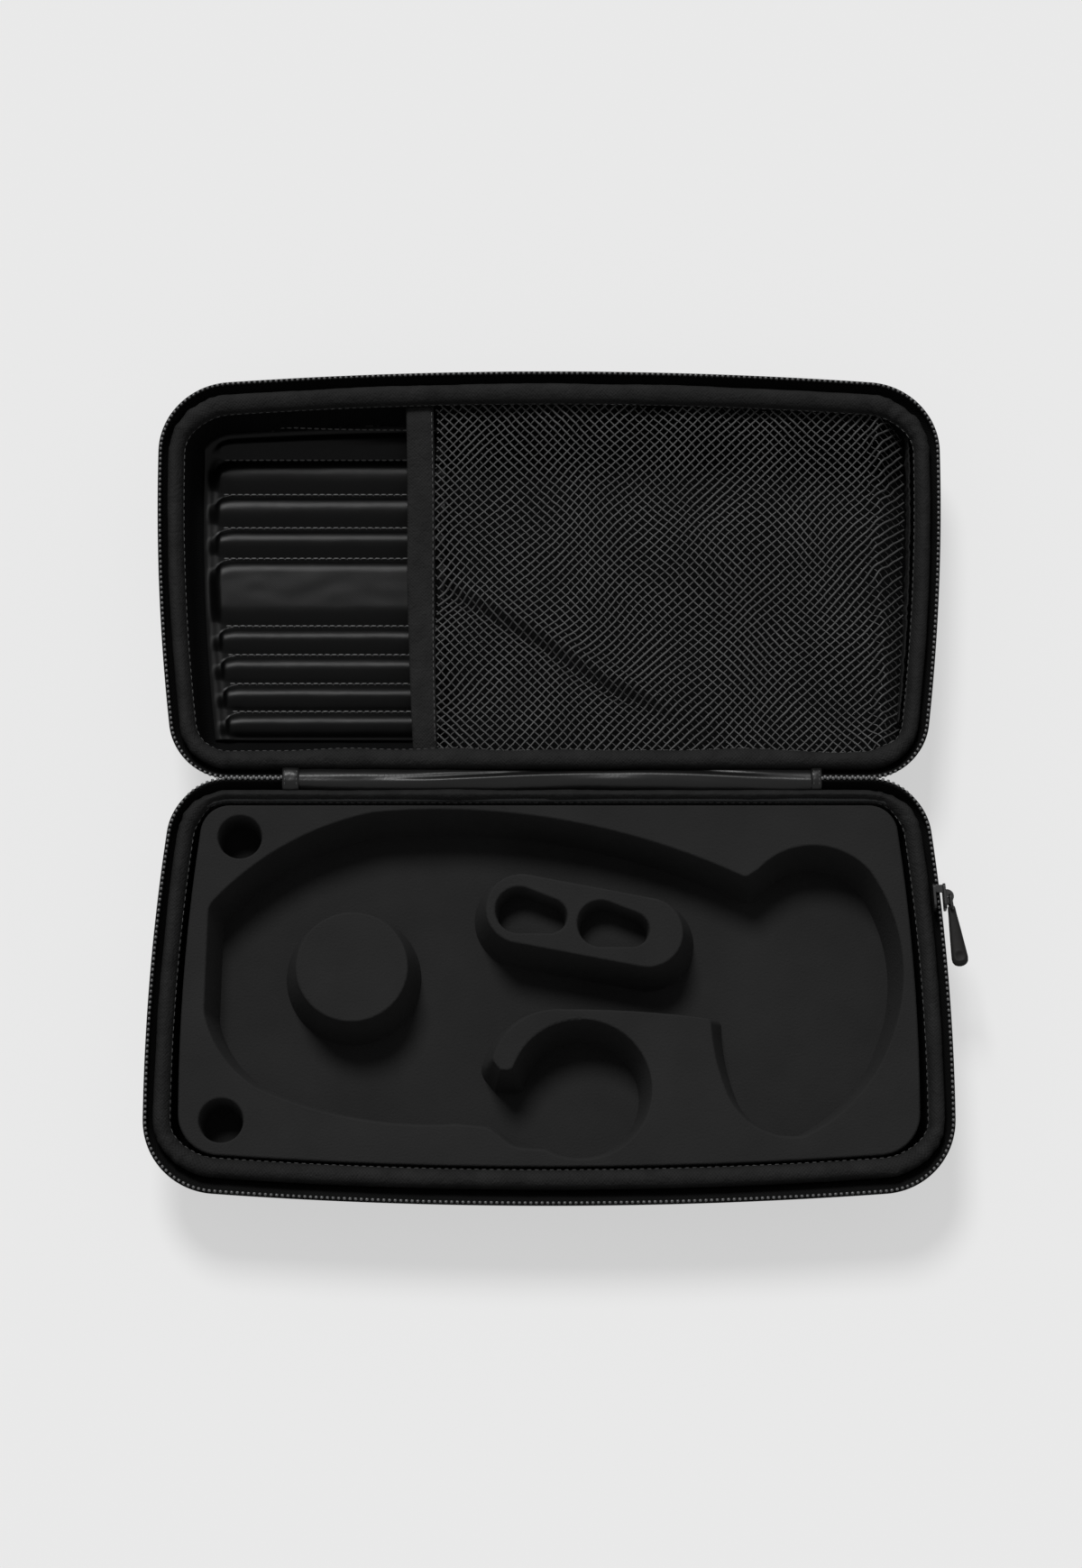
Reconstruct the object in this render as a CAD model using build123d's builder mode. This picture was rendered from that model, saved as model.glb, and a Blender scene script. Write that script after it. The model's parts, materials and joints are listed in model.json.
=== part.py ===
"""A zippered hard case that opens flat like a book: two moulded foam trays joined by a soft
spine. The near tray (the base) holds a cut foam insert, the far tray (the lid) a ribbed pad
and a net pocket. Millimetres, +X to the right along the hinge, +Y from the base to the lid,
+Z up. The origin is the middle of the base's underside, where the case rests."""

import math
import os

from build123d import *

# ---- Overall size ----------------------------------------------------------------------
HALF_DEPTH = 153.0  # hinge line to the middle of the front edge, over the zip
HALF_HEIGHT = 33.0  # underside to the closing plane
SIDE_REACH = 141.0  # half the length over the zip, where it is widest
WIDEST_AT = 118.0  # distance of that place from the hinge line
SIDE_BOW = 0.000635  # how fast the sides draw in towards the hinge, in 1/mm
FRONT_BOW = 0.00031  # the same for the front edge
HINGE_CORNER = 22.0
FRONT_CORNER = 26.5
HINGE_GAP = 0.2  # the zip's outermost line stands this far off the hinge line

# ---- Trays -----------------------------------------------------------------------------
WALL = 3.5
WALL_INSET = 4.3  # zip's outermost line to the tray's outer face
WALL_DRAFT = 4.0  # degrees
FLOOR_RADIUS = 12.0
RIM_DEPTH = 3.0  # closing plane to the tray's top edge
BASE_FRONT_EXTRA = 2.4  # the base's tray stands this much further from the zip in front
LID_FRONT_EXTRA = 1.0
LINING = 0.7
LINING_TOP = 4.3  # closing plane to the lining's top edge
SEAM = 0.1  # between two layers that are glued or sewn together

# ---- Rim binding -----------------------------------------------------------------------
BINDING_WIDTH = 5.8
BINDING_INSET = 3.6
BINDING_TOP = 0.35
BINDING_ROUND = 2.3
OUTER_LEG = 6.2  # how deep the binding reaches outside the tray
INNER_LEG = 4.0  # and inside it

# ---- Zip -------------------------------------------------------------------------------
CHAIN_WIDTH = 1.5
CHAIN_TOP = 1.0
CHAIN_HEIGHT = 2.2
TAPE = 0.7
TAPE_INSET = 0.4  # at the chain
TAPE_FOOT_DEPTH = 8.2
TAPE_END_DEPTH = 11.0
CHAIN_START = 94.5  # from the middle of the hinge to the first teeth

# ---- Slider and pull -------------------------------------------------------------------
SLIDER_AT = 44.0  # distance from the hinge line
SLIDER_LENGTH = 9.0
SLIDER_HEIGHT = 7.2
PLATE = 0.8
PLATE_GAP = 0.65  # between either plate and the chain
BRIDGE = 1.1  # thickness of the web between the plates
BRIDGE_LENGTH = 2.6
TRAVEL_TO = 98.0  # the far end of the straight run, from the hinge line
TRAVEL_FROM = 36.0
CROWN_LENGTH = 5.0
CROWN_RISE = 2.8
CROWN_WIDTH = 3.2
CROWN_HOLE = 0.85
LINK_WIRE = 0.6  # radius
LINK_ROUND = 0.9
LINK_PLAY = 0.05  # between the wire and the pull's hole
LINK_LENGTH = 4.6
PULL_LENGTH = 20.5
PULL_NECK = 1.3
PULL_END = 2.9
PULL_ANGLE = 8.0  # degrees out from the -Y direction

# ---- Foam insert -----------------------------------------------------------------------
FOAM_TOP = 4.3
FOAM_GAP = 2.9  # between the foam and the lining at the sides and in front
FOAM_HINGE_GAP = 0.3  # and along the hinge
FOAM_EDGE = 0.9
RECESS_DEPTH = 20.0
RECESS_DRAFT = 12.0
FOAM_STRIP = 2.8  # foam left between its hinge edge and the ring recess
RECESS_FALL = 2.7  # how far the long recess draws away from there by the case's middle
RECESS_ROUNDS = (  # places along the recess's edge, from the hinge line, and their radii
    ((-119.8, -46.0), 7.0),
    ((-120.6, -84.0), 12.0),
    ((-100.9, -111.5), 14.0),
    ((-21.0, -125.2), 7.0),
    ((-12.0, -132.4), 9.0),
    ((-19.8, -101.0), 2.0),
)
CORNERS_AT = ((69.3, -35.6), (56.6, -86.6), (-12.9, -104.8), (-1.4, -133.0))
CORNER_ROUND = 2.5  # the upright edges there, where two recesses meet
CORNER_REACH = 3.0  # how near to those places an edge is looked for
DISC_AT = (11.0, -111.5)
DISC_RADIUS = 24.8
HOLES_AT = ((-109.1, -20.9), (-113.9, -122.6))
HOLE_RADIUS = 7.8
HOLE_DEPTH = 16.0
HOLE_DRAFT = 4.0
ROUND_ISLAND_AT = (-69.1, -67.9)
ROUND_ISLAND_RADIUS = 19.6
PILL_AT = (12.4, -51.2)
PILL_LENGTH = 45.0  # between the centres of its ends
PILL_WIDTH = 25.0
PILL_TURN = -11.0
POCKETS_AT = ((-10.6, -47.4), (18.2, -52.3))
POCKET_BIG = 8.4
POCKET_SMALL = 6.3
POCKET_LENGTH = 11.0  # between the centres of its ends
POCKET_DEPTH = 11.0
POCKET_DRAFT = 6.0

# ---- Lid pad, net and hem --------------------------------------------------------------
PAD_LEFT = -116.0
PAD_RIGHT = -40.0
PAD_CREASES = (21.7, 31.9, 42.4, 53.3, 64.2, 89.9, 101.6, 114.4, 127.4, 133.4)
PAD_BACKING = 1.4
RIB_HEIGHT = 3.2
RIB_TIP = 9.0  # length over which a rib rises from its left end
RIB_TIP_SHARE = 0.35  # of the rib's width and height at that end
NET_DEPTH = 6.4
NET_THICK = 0.8
NET_LEFT = -42.6
NET_RIGHT = 118.0
NET_GAP = 0.7  # between the net's edge and the lining, measured at the rim
NET_MARGIN = 2.0
NET_COLUMNS = 20
NET_ROWS = 15
NET_STRAND = 1.6
HEM_WIDTH = 9.4
HEM_THICK = 1.5
HEM_LEAN = 3.0  # the hem's near end lies this much further right
ANCHOR_WIDTH = 8.0
ANCHOR_THICK = 1.6

# ---- Spine -----------------------------------------------------------------------------
SPINE_HALF = 89.0
SPINE_TOP = 0.9
SPINE_THICK = 2.4
SPINE_CLEAR = 0.25
TAB_LENGTH = 5.0
TAB_THICK = 1.4

HINGE_Y = HALF_DEPTH / 2
HINGE_PLANE = Plane((0, HINGE_Y, 0), z_dir=(0, 1, 0))
CAVITY_INSET = WALL_INSET + WALL
LINING_INSET = CAVITY_INSET + SEAM
CAVITY_RADIUS = FLOOR_RADIUS - WALL
BINDING_INNER = BINDING_INSET + BINDING_WIDTH
CHAIN_FOOT = CHAIN_TOP + CHAIN_HEIGHT
RECESS_FLOOR = FOAM_TOP + RECESS_DEPTH
LINING_BED = HALF_HEIGHT - WALL - SEAM  # closing plane to the lining's underside
LINING_FLOOR = LINING_BED - LINING
LINING_FACE = LINING_INSET + LINING
FOAM_INSET = LINING_FACE + FOAM_GAP
FOAM_HINGE_EDGE = HINGE_GAP + LINING_FACE + FOAM_HINGE_GAP
NET_INSET = LINING_FACE + NET_GAP


def level(depth: float) -> Plane:
    """A plane parallel to the floor, so far under the closing plane, seen from the hinge."""
    return Plane((0, HINGE_Y, HALF_HEIGHT - depth))


def side_x(reach: float) -> float:
    """Half the case's length over the zip at a distance from the hinge line."""
    return SIDE_REACH - SIDE_BOW * (reach - WIDEST_AT) ** 2


def half_outline(depth, inset, hinge_edge=None, front_extra=0.0) -> Sketch:
    """The base's outline at a depth, drawn in from the zip's outermost line."""
    hinge = HINGE_GAP + inset if hinge_edge is None else hinge_edge
    front = HALF_DEPTH - inset - front_extra
    corner_x = side_x(HALF_DEPTH) - inset
    corner_y = front - FRONT_BOW * corner_x**2
    middle = (hinge + corner_y) / 2
    with BuildSketch(level(depth)) as sketch:
        with BuildLine():
            for side in (-1, 1):
                ThreePointArc(
                    (side * (side_x(hinge) - inset), -hinge),
                    (side * (side_x(middle) - inset), -middle),
                    (side * corner_x, -corner_y),
                )
            ThreePointArc((-corner_x, -corner_y), (0, -front), (corner_x, -corner_y))
            Line((-side_x(hinge) + inset, -hinge), (side_x(hinge) - inset, -hinge))
        make_face()
        fillet(sketch.vertices().group_by(Axis.Y)[0], FRONT_CORNER - inset)
        fillet(sketch.vertices().group_by(Axis.Y)[-1], HINGE_CORNER - inset)
    return sketch.sketch


def tray_block(inset, top, bottom, radius, front_extra, hinge_edge=None) -> Part:
    """A filled tray shape: drafted sides and a rounded bottom edge. The inset is the one
    that its sides would have at the height of the tray's top edge."""
    start = inset + (top - RIM_DEPTH) * math.tan(math.radians(WALL_DRAFT))
    with BuildPart() as block:
        outline = half_outline(top, start, hinge_edge, front_extra)
        extrude(outline, amount=top - bottom, taper=WALL_DRAFT)
        fillet(block.faces().sort_by(Axis.Z)[0].edges(), radius)
    return block.part


def band(outer, inner, top, bottom, front_extra=0.0) -> Part:
    """An upright band that follows the outline between two insets and two depths."""
    with BuildPart() as ring:
        extrude(half_outline(bottom, outer, None, front_extra), amount=bottom - top)
        hollow = half_outline(bottom, inner, None, front_extra)
        extrude(hollow, amount=bottom - top, mode=Mode.SUBTRACT)
    return ring.part


def sloped_band(upper, lower, front_extra) -> Part:
    """A band between two levels whose inset changes on the way. Each level is its outer
    inset, its inner inset and its depth, and only the lower one moves in at the front."""
    solids = []
    for edge in (0, 1):
        with BuildPart() as side:
            sections = (
                half_outline(lower[2], lower[edge], None, front_extra),
                half_outline(upper[2], upper[edge]),
            )
            loft(sections, ruled=True)
        solids.append(side.part)
    return solids[0] - solids[1]


def save(piece: BuildPart, name: str) -> None:
    """Labels a finished piece and writes it."""
    piece.part.label = name
    export_step(piece.part, f"parts/{name}.step")


def save_half(shape: Part, name: str, lid: bool) -> None:
    """Writes a piece drawn in the base, or its mirror image in the lid."""
    with BuildPart() as piece:
        if lid:
            mirror(shape, about=HINGE_PLANE)
        else:
            add(shape)
    save(piece, name)


# ---- The two trays and what runs round their rims --------------------------------------


def tray_shell(front_extra) -> Part:
    """The moulded tray, open at the top."""
    outside = tray_block(WALL_INSET, RIM_DEPTH, HALF_HEIGHT, FLOOR_RADIUS, front_extra)
    cavity = tray_block(
        CAVITY_INSET, RIM_DEPTH, HALF_HEIGHT - WALL, CAVITY_RADIUS, front_extra
    )
    return outside - cavity


def lined_room(front_extra) -> Part:
    """The room inside a tray's lining."""
    radius = CAVITY_RADIUS - SEAM - LINING
    return tray_block(LINING_FACE, LINING_TOP, LINING_FLOOR, radius, front_extra)


def tray_lining(front_extra) -> Part:
    """The cloth glued over the tray's inside, from just under the binding."""
    skin = tray_block(LINING_INSET, LINING_TOP, LINING_BED, CAVITY_RADIUS - SEAM, front_extra)
    return skin - lined_room(front_extra)


def rim_binding(front_extra) -> Part:
    """The padded roll over the tray's top edge, with a leg down each side of the wall."""
    roll = band(BINDING_INSET, BINDING_INNER, BINDING_TOP, OUTER_LEG, front_extra)
    groove = band(
        WALL_INSET - SEAM, CAVITY_INSET + 2 * SEAM, RIM_DEPTH - SEAM, OUTER_LEG, front_extra
    )
    inner_cut = band(CAVITY_INSET, BINDING_INNER + SEAM, INNER_LEG, OUTER_LEG, front_extra)
    with BuildPart() as binding:
        add(roll)
        fillet(binding.faces().sort_by(Axis.Z)[-1].edges(), BINDING_ROUND)
        add(groove, mode=Mode.SUBTRACT)
        add(inner_cut, mode=Mode.SUBTRACT)
    return binding.part


def cut_for_spine(shape: Part) -> Part:
    """Takes away the stretch of the zip that the spine stands in for."""
    with BuildPart() as cut:
        add(shape)
        with Locations((0, HINGE_Y, HALF_HEIGHT)):
            Box(2 * CHAIN_START, 4 * TAPE_END_DEPTH, 3 * TAPE_END_DEPTH, mode=Mode.SUBTRACT)
    return cut.part


def zip_chain() -> Part:
    """The row of teeth, as one plain bead."""
    return cut_for_spine(band(0, CHAIN_WIDTH, CHAIN_TOP, CHAIN_FOOT))


def zip_tape(front_extra) -> Part:
    """The woven tape, which slopes from the teeth down to the tray's outside."""
    foot_inset = WALL_INSET - SEAM - TAPE
    upper = (TAPE_INSET, TAPE_INSET + TAPE, CHAIN_FOOT)
    foot = (foot_inset, foot_inset + TAPE, TAPE_FOOT_DEPTH)
    slope = sloped_band(upper, foot, front_extra)
    sewn = band(
        foot_inset, foot_inset + TAPE, TAPE_FOOT_DEPTH, TAPE_END_DEPTH, front_extra
    )
    return cut_for_spine(slope + sewn)


def build_rims() -> None:
    """Writes shell, lining, binding, tape and teeth for both halves."""
    for half, front_extra in (("base", BASE_FRONT_EXTRA), ("lid", LID_FRONT_EXTRA)):
        is_lid = half == "lid"
        save_half(tray_shell(front_extra), f"{half}_shell", is_lid)
        save_half(tray_lining(front_extra), f"{half}_lining", is_lid)
        save_half(rim_binding(front_extra), f"{half}_binding", is_lid)
        save_half(zip_tape(front_extra), f"{half}_zip_tape", is_lid)
        save_half(zip_chain(), f"{half}_zip_chain", is_lid)


# ---- Foam insert -----------------------------------------------------------------------


def ring_and_long_outline() -> Sketch:
    """The ring recess, the long recess that leaves it to the right and the channel into the
    disc pocket, as one outline on the foam's top."""
    top = FOAM_HINGE_EDGE + FOAM_STRIP
    with BuildSketch(level(FOAM_TOP)) as outline:
        with BuildLine():
            ThreePointArc((-119.8, -46.0), (-92.0, -23.2), (-62.0, -top))
            ThreePointArc((-62.0, -top), (4.0, -top - RECESS_FALL), (76.0, -39.0))
            Polyline((76.0, -39.0), (95.0, -48.0), (95.0, -92.0), (66.0, -88.0))
            ThreePointArc((66.0, -88.0), (36.0, -84.3), (5.4, -83.2))
            ThreePointArc((5.4, -83.2), (-11.8, -88.3), (-19.8, -101.0))
            Polyline((-19.8, -101.0), (-17.0, -104.6), (2.0, -105.6), (6.0, -133.4))
            Polyline((6.0, -133.4), (-12.0, -132.4), (-21.0, -125.2), (-32.0, -124.0))
            ThreePointArc((-32.0, -124.0), (-66.0, -122.2), (-100.9, -111.5))
            ThreePointArc((-100.9, -111.5), (-112.8, -101.0), (-120.6, -84.0))
            Line((-120.6, -84.0), (-119.8, -46.0))
        make_face()
        for place, radius in RECESS_ROUNDS:
            near = outline.vertices().sort_by_distance(Vector(*place, HALF_HEIGHT - FOAM_TOP))
            fillet(near[0], radius)
    return outline.sketch


def lobe_outline() -> Sketch:
    """The rounded lobe at the right end of the long recess."""
    with BuildSketch(level(FOAM_TOP)) as outline:
        with BuildLine():
            Line((62.0, -40.6), (74.0, -32.4))
            ThreePointArc((74.0, -32.4), (93.6, -24.0), (113.2, -33.4))
            ThreePointArc((113.2, -33.4), (123.7, -62.0), (119.4, -93.6))
            ThreePointArc((119.4, -93.6), (106.8, -114.6), (88.4, -128.2))
            ThreePointArc((88.4, -128.2), (71.5, -124.6), (61.4, -111.6))
            ThreePointArc((61.4, -111.6), (57.5, -97.0), (57.0, -76.0))
            Line((57.0, -76.0), (62.0, -40.6))
        make_face()
    return outline.sketch


def drafted_cut(outline: Sketch, depth: float, draft: float) -> Part:
    """A cutter that narrows on its way down from the foam's top."""
    with BuildPart() as cutter:
        extrude(outline, amount=-depth, taper=draft)
    return cutter.part


def circle_at(place, radius: float) -> Sketch:
    """A circle on the foam's top."""
    with BuildSketch(level(FOAM_TOP)) as disc:
        with Locations(place):
            Circle(radius)
    return disc.sketch


def pocket_outline(place) -> Sketch:
    """A pear shape: two circles of unlike size and the tangents between them."""
    turn = math.radians(PILL_TURN)
    far = (
        place[0] + POCKET_LENGTH * math.cos(turn),
        place[1] + POCKET_LENGTH * math.sin(turn),
    )
    with BuildSketch(level(FOAM_TOP)) as pear:
        with Locations(place):
            Circle(POCKET_BIG)
        with Locations(far):
            Circle(POCKET_SMALL)
        make_hull()
    return pear.sketch


def pill_outline() -> Sketch:
    """The long island's rounded outline."""
    with BuildSketch(level(FOAM_TOP)) as pill:
        with Locations(Location(PILL_AT, PILL_TURN)):
            SlotCenterToCenter(PILL_LENGTH, PILL_WIDTH)
    return pill.sketch


def corner_edges(block: Part) -> list:
    """The upright edges of the foam where two recesses run into each other."""
    found = []
    for place in CORNERS_AT:
        corner = level(FOAM_TOP).from_local_coords(Vector(*place))
        for edge in block.edges():
            ends = sorted((edge @ 0, edge @ 1), key=lambda end: end.Z)
            upright = ends[1].Z - ends[0].Z > RECESS_DEPTH / 2
            if upright and (ends[1] - corner).length < CORNER_REACH:
                found.append(edge)
    return found


def build_insert() -> None:
    """Writes the foam insert: a cut block, the sheet under it and two islands."""
    whole = tray_block(
        FOAM_INSET, FOAM_TOP, LINING_FLOOR, CAVITY_RADIUS, BASE_FRONT_EXTRA, FOAM_HINGE_EDGE
    )
    with BuildPart() as insert_floor:
        add(whole)
        split(bisect_by=level(RECESS_FLOOR), keep=Keep.BOTTOM)
    save(insert_floor, "insert_floor")

    with BuildPart() as insert_block:
        add(whole)
        split(bisect_by=level(RECESS_FLOOR), keep=Keep.TOP)
        for outline in (
            ring_and_long_outline(),
            lobe_outline(),
            circle_at(DISC_AT, DISC_RADIUS),
        ):
            add(drafted_cut(outline, RECESS_DEPTH, RECESS_DRAFT), mode=Mode.SUBTRACT)
        for place in HOLES_AT:
            hole = drafted_cut(circle_at(place, HOLE_RADIUS), HOLE_DEPTH, HOLE_DRAFT)
            add(hole, mode=Mode.SUBTRACT)
        fillet(corner_edges(insert_block.part), CORNER_ROUND)
        fillet(insert_block.faces().sort_by(Axis.Z)[-1].edges(), FOAM_EDGE)
    save(insert_block, "insert_block")

    with BuildPart() as round_island:
        top = circle_at(ROUND_ISLAND_AT, ROUND_ISLAND_RADIUS)
        extrude(top, amount=-RECESS_DEPTH, taper=-RECESS_DRAFT)
        fillet(round_island.faces().sort_by(Axis.Z)[-1].edges(), FOAM_EDGE)
    save(round_island, "round_island")

    with BuildPart() as pill_island:
        extrude(pill_outline(), amount=-RECESS_DEPTH, taper=-RECESS_DRAFT)
        for place in POCKETS_AT:
            pocket = drafted_cut(pocket_outline(place), POCKET_DEPTH, POCKET_DRAFT)
            add(pocket, mode=Mode.SUBTRACT)
        fillet(pill_island.faces().sort_by(Axis.Z)[-1].edges(), FOAM_EDGE)
    save(pill_island, "pill_island")


# ---- Lid pad, net and hem --------------------------------------------------------------


def rib_section(x: float, middle: float, width: float, height: float) -> Sketch:
    """A rib's cross-section: a flat foot and a round crown."""
    foot = HALF_HEIGHT - LINING_FLOOR + PAD_BACKING / 2
    crown = HALF_HEIGHT - LINING_FLOOR + PAD_BACKING + height
    with BuildSketch(Plane((x, HINGE_Y + middle, 0), x_dir=(0, 1, 0), z_dir=(1, 0, 0))) as rib:
        with BuildLine():
            Polyline(
                (-width / 2, foot + PAD_BACKING / 2),
                (-width / 2, foot),
                (width / 2, foot),
                (width / 2, foot + PAD_BACKING / 2),
            )
            ThreePointArc(
                (-width / 2, foot + PAD_BACKING / 2),
                (0, crown),
                (width / 2, foot + PAD_BACKING / 2),
            )
        make_face()
    return rib.sketch


def build_pad() -> None:
    """Writes the lid's ribbed pad: a backing sheet with puffed ribs that run along X."""
    with BuildPart() as lid_ribbed_pad:
        with BuildSketch(level(LINING_FLOOR)):
            with Locations(((PAD_LEFT + PAD_RIGHT) / 2, (PAD_CREASES[0] + PAD_CREASES[-1]) / 2)):
                Rectangle(PAD_RIGHT - PAD_LEFT, PAD_CREASES[-1] - PAD_CREASES[0])
        extrude(amount=PAD_BACKING)
        for low, high in zip(PAD_CREASES, PAD_CREASES[1:]):
            width = high - low - 2 * SEAM
            middle = (low + high) / 2
            full = rib_section(PAD_LEFT + RIB_TIP, middle, width, RIB_HEIGHT)
            tip = rib_section(
                PAD_LEFT + SEAM, middle, width * RIB_TIP_SHARE, RIB_HEIGHT * RIB_TIP_SHARE
            )
            loft((tip, full), ruled=True)
            extrude(full, amount=PAD_RIGHT - PAD_LEFT - RIB_TIP)
        mirror(lined_room(LID_FRONT_EXTRA), about=HINGE_PLANE, mode=Mode.INTERSECT)
    save(lid_ribbed_pad, "lid_ribbed_pad")


def net_layer(thick: float, left: float, right: float) -> Part:
    """A flat piece at the net's height that reaches the lid's walls, drawn in the base."""
    outline = half_outline(NET_DEPTH + thick, NET_INSET, None, LID_FRONT_EXTRA)
    with BuildPart() as layer:
        extrude(outline, amount=thick)
        with Locations(((left + right) / 2, HINGE_Y - HALF_DEPTH / 2, HALF_HEIGHT - NET_DEPTH)):
            Box(right - left, HALF_DEPTH, 4 * thick, mode=Mode.INTERSECT)
    return layer.part


def net_gaps() -> Part:
    """The net's diamond gaps, in columns along X and rows along Y."""
    cell_x = (NET_RIGHT - NET_LEFT - 2 * NET_MARGIN) / NET_COLUMNS
    cell_y = (HALF_DEPTH - 2 * NET_INSET - LID_FRONT_EXTRA - 4 * NET_MARGIN) / NET_ROWS
    gap_x = (cell_x - NET_STRAND) / 2
    gap_y = (cell_y - NET_STRAND) / 2
    middle = ((NET_LEFT + NET_RIGHT) / 2, -(HALF_DEPTH - NET_MARGIN) / 2)
    with BuildPart() as gaps:
        with BuildSketch(level(NET_DEPTH + 2 * NET_THICK)):
            with Locations(middle):
                with GridLocations(cell_x, cell_y, NET_COLUMNS, NET_ROWS):
                    Polygon((-gap_x, 0), (0, -gap_y), (gap_x, 0), (0, gap_y))
        extrude(amount=3 * NET_THICK)
    return gaps.part


def build_net() -> None:
    """Writes the net as one holed sheet, the hem along its open side and the strip that
    gathers it at the other."""
    save_half(net_layer(NET_THICK, NET_LEFT, NET_RIGHT) - net_gaps(), "pocket_net", True)

    hem_right = NET_LEFT - SEAM
    hem_left = hem_right - HEM_WIDTH
    with BuildPart() as hem:
        add(net_layer(HEM_THICK, hem_left, hem_right))
        with BuildSketch(level(NET_DEPTH + 2 * HEM_THICK)):
            with BuildLine():
                Polyline(
                    (hem_left, -HALF_DEPTH), (hem_left, 0), (hem_left + HEM_LEAN, 0), close=True
                )
            make_face()
        extrude(amount=4 * HEM_THICK, mode=Mode.SUBTRACT)
    save_half(hem.part, "net_hem", True)

    anchor_left = NET_RIGHT + SEAM
    anchor = net_layer(ANCHOR_THICK, anchor_left, anchor_left + ANCHOR_WIDTH)
    save_half(anchor, "net_anchor", True)


# ---- Spine -----------------------------------------------------------------------------


def build_spine() -> None:
    """Writes the soft strip that joins the halves and the tab sewn over each of its ends."""
    reach = BINDING_INSET + HINGE_GAP - SPINE_CLEAR
    with BuildPart() as spine_cover:
        with BuildSketch(level(SPINE_TOP + SPINE_THICK)):
            Rectangle(2 * SPINE_HALF, 2 * reach)
        extrude(amount=SPINE_THICK)
        fillet(spine_cover.faces().sort_by(Axis.Z)[-1].edges().filter_by(Axis.X), SPINE_THICK / 2)
    save(spine_cover, "spine_cover")
    for name, side in (("spine_tab_left", -1), ("spine_tab_right", 1)):
        with BuildPart() as spine_tab:
            with BuildSketch(level(SPINE_TOP + TAB_THICK)):
                with Locations((side * (SPINE_HALF + SEAM + TAB_LENGTH / 2), 0)):
                    Rectangle(TAB_LENGTH, 2 * reach)
            extrude(amount=TAB_THICK)
        save(spine_tab, name)


# ---- Slider and pull -------------------------------------------------------------------


def run_heading() -> float:
    """The angle from -Y, in degrees, of the straight run along the right side's teeth."""
    rise = side_x(TRAVEL_TO) - side_x(TRAVEL_FROM)
    return math.degrees(math.atan2(rise, TRAVEL_TO - TRAVEL_FROM))


def slider_plane() -> Plane:
    """At the slider's middle in the closing plane: X away from the case, Y towards the
    hinge along the run."""
    turn = math.radians(run_heading())
    bow = SIDE_BOW * (TRAVEL_TO - TRAVEL_FROM) ** 2 / 8
    share = (SLIDER_AT - TRAVEL_FROM) / (TRAVEL_TO - TRAVEL_FROM)
    chord = side_x(TRAVEL_FROM) + share * (side_x(TRAVEL_TO) - side_x(TRAVEL_FROM))
    return Plane(
        (chord + bow, HINGE_Y - SLIDER_AT, HALF_HEIGHT),
        x_dir=(math.cos(turn), math.sin(turn), 0),
        z_dir=(0, 0, 1),
    )


def build_slider() -> None:
    """Writes the slider's plates and web, and the crown that carries the pull."""
    frame = slider_plane()
    plate_outer = PLATE_GAP + PLATE
    plate_inner = -(CHAIN_WIDTH + PLATE_GAP)
    with BuildPart() as slider_body:
        with BuildSketch(frame.offset(-SLIDER_HEIGHT / 2)):
            for middle in (plate_outer - PLATE / 2, plate_inner - PLATE / 2):
                with Locations((middle, 0)):
                    Rectangle(PLATE, SLIDER_LENGTH)
        extrude(amount=SLIDER_HEIGHT)
        fillet(slider_body.edges().filter_by(Axis(frame.origin, frame.x_dir)), SLIDER_HEIGHT / 5)
        with BuildSketch(frame.offset(-BRIDGE / 2)):
            with Locations(((plate_inner + PLATE_GAP) / 2, (SLIDER_LENGTH - BRIDGE_LENGTH) / 2)):
                Rectangle(PLATE_GAP - plate_inner + SEAM, BRIDGE_LENGTH)
        extrude(amount=BRIDGE)
    save(slider_body, "slider_body")

    with BuildPart() as slider_crown:
        with BuildSketch(frame.offset(-CROWN_WIDTH / 2)):
            with BuildLine():
                Line((plate_outer, CROWN_LENGTH / 2), (plate_outer, -CROWN_LENGTH / 2))
                ThreePointArc(
                    (plate_outer, -CROWN_LENGTH / 2),
                    (plate_outer + CROWN_RISE, 0),
                    (plate_outer, CROWN_LENGTH / 2),
                )
            make_face()
            with Locations((plate_outer + CROWN_RISE / 2, 0)):
                Circle(CROWN_HOLE, mode=Mode.SUBTRACT)
        extrude(amount=CROWN_WIDTH)
    save(slider_crown, "slider_crown")


def pull_plane() -> Plane:
    """At the crown's hole: X along the pull towards its round end, Z up."""
    frame = slider_plane()
    hole = frame.from_local_coords(Vector(PLATE_GAP + PLATE + CROWN_RISE / 2, 0, 0))
    turn = math.radians(PULL_ANGLE)
    return Plane(hole, x_dir=(math.sin(turn), -math.cos(turn), 0), z_dir=(0, 0, 1))


def link_loop(frame: Plane) -> Wire:
    """The middle line of the wire link, upright from the crown's hole to the pull's."""
    with BuildSketch(Plane(frame.origin, x_dir=frame.x_dir, z_dir=frame.y_dir)) as loop:
        with Locations((LINK_LENGTH / 2, 0)):
            RectangleRounded(LINK_LENGTH, CROWN_WIDTH + 4 * LINK_WIRE, LINK_ROUND)
    return loop.sketch.faces()[0].outer_wire()


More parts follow.
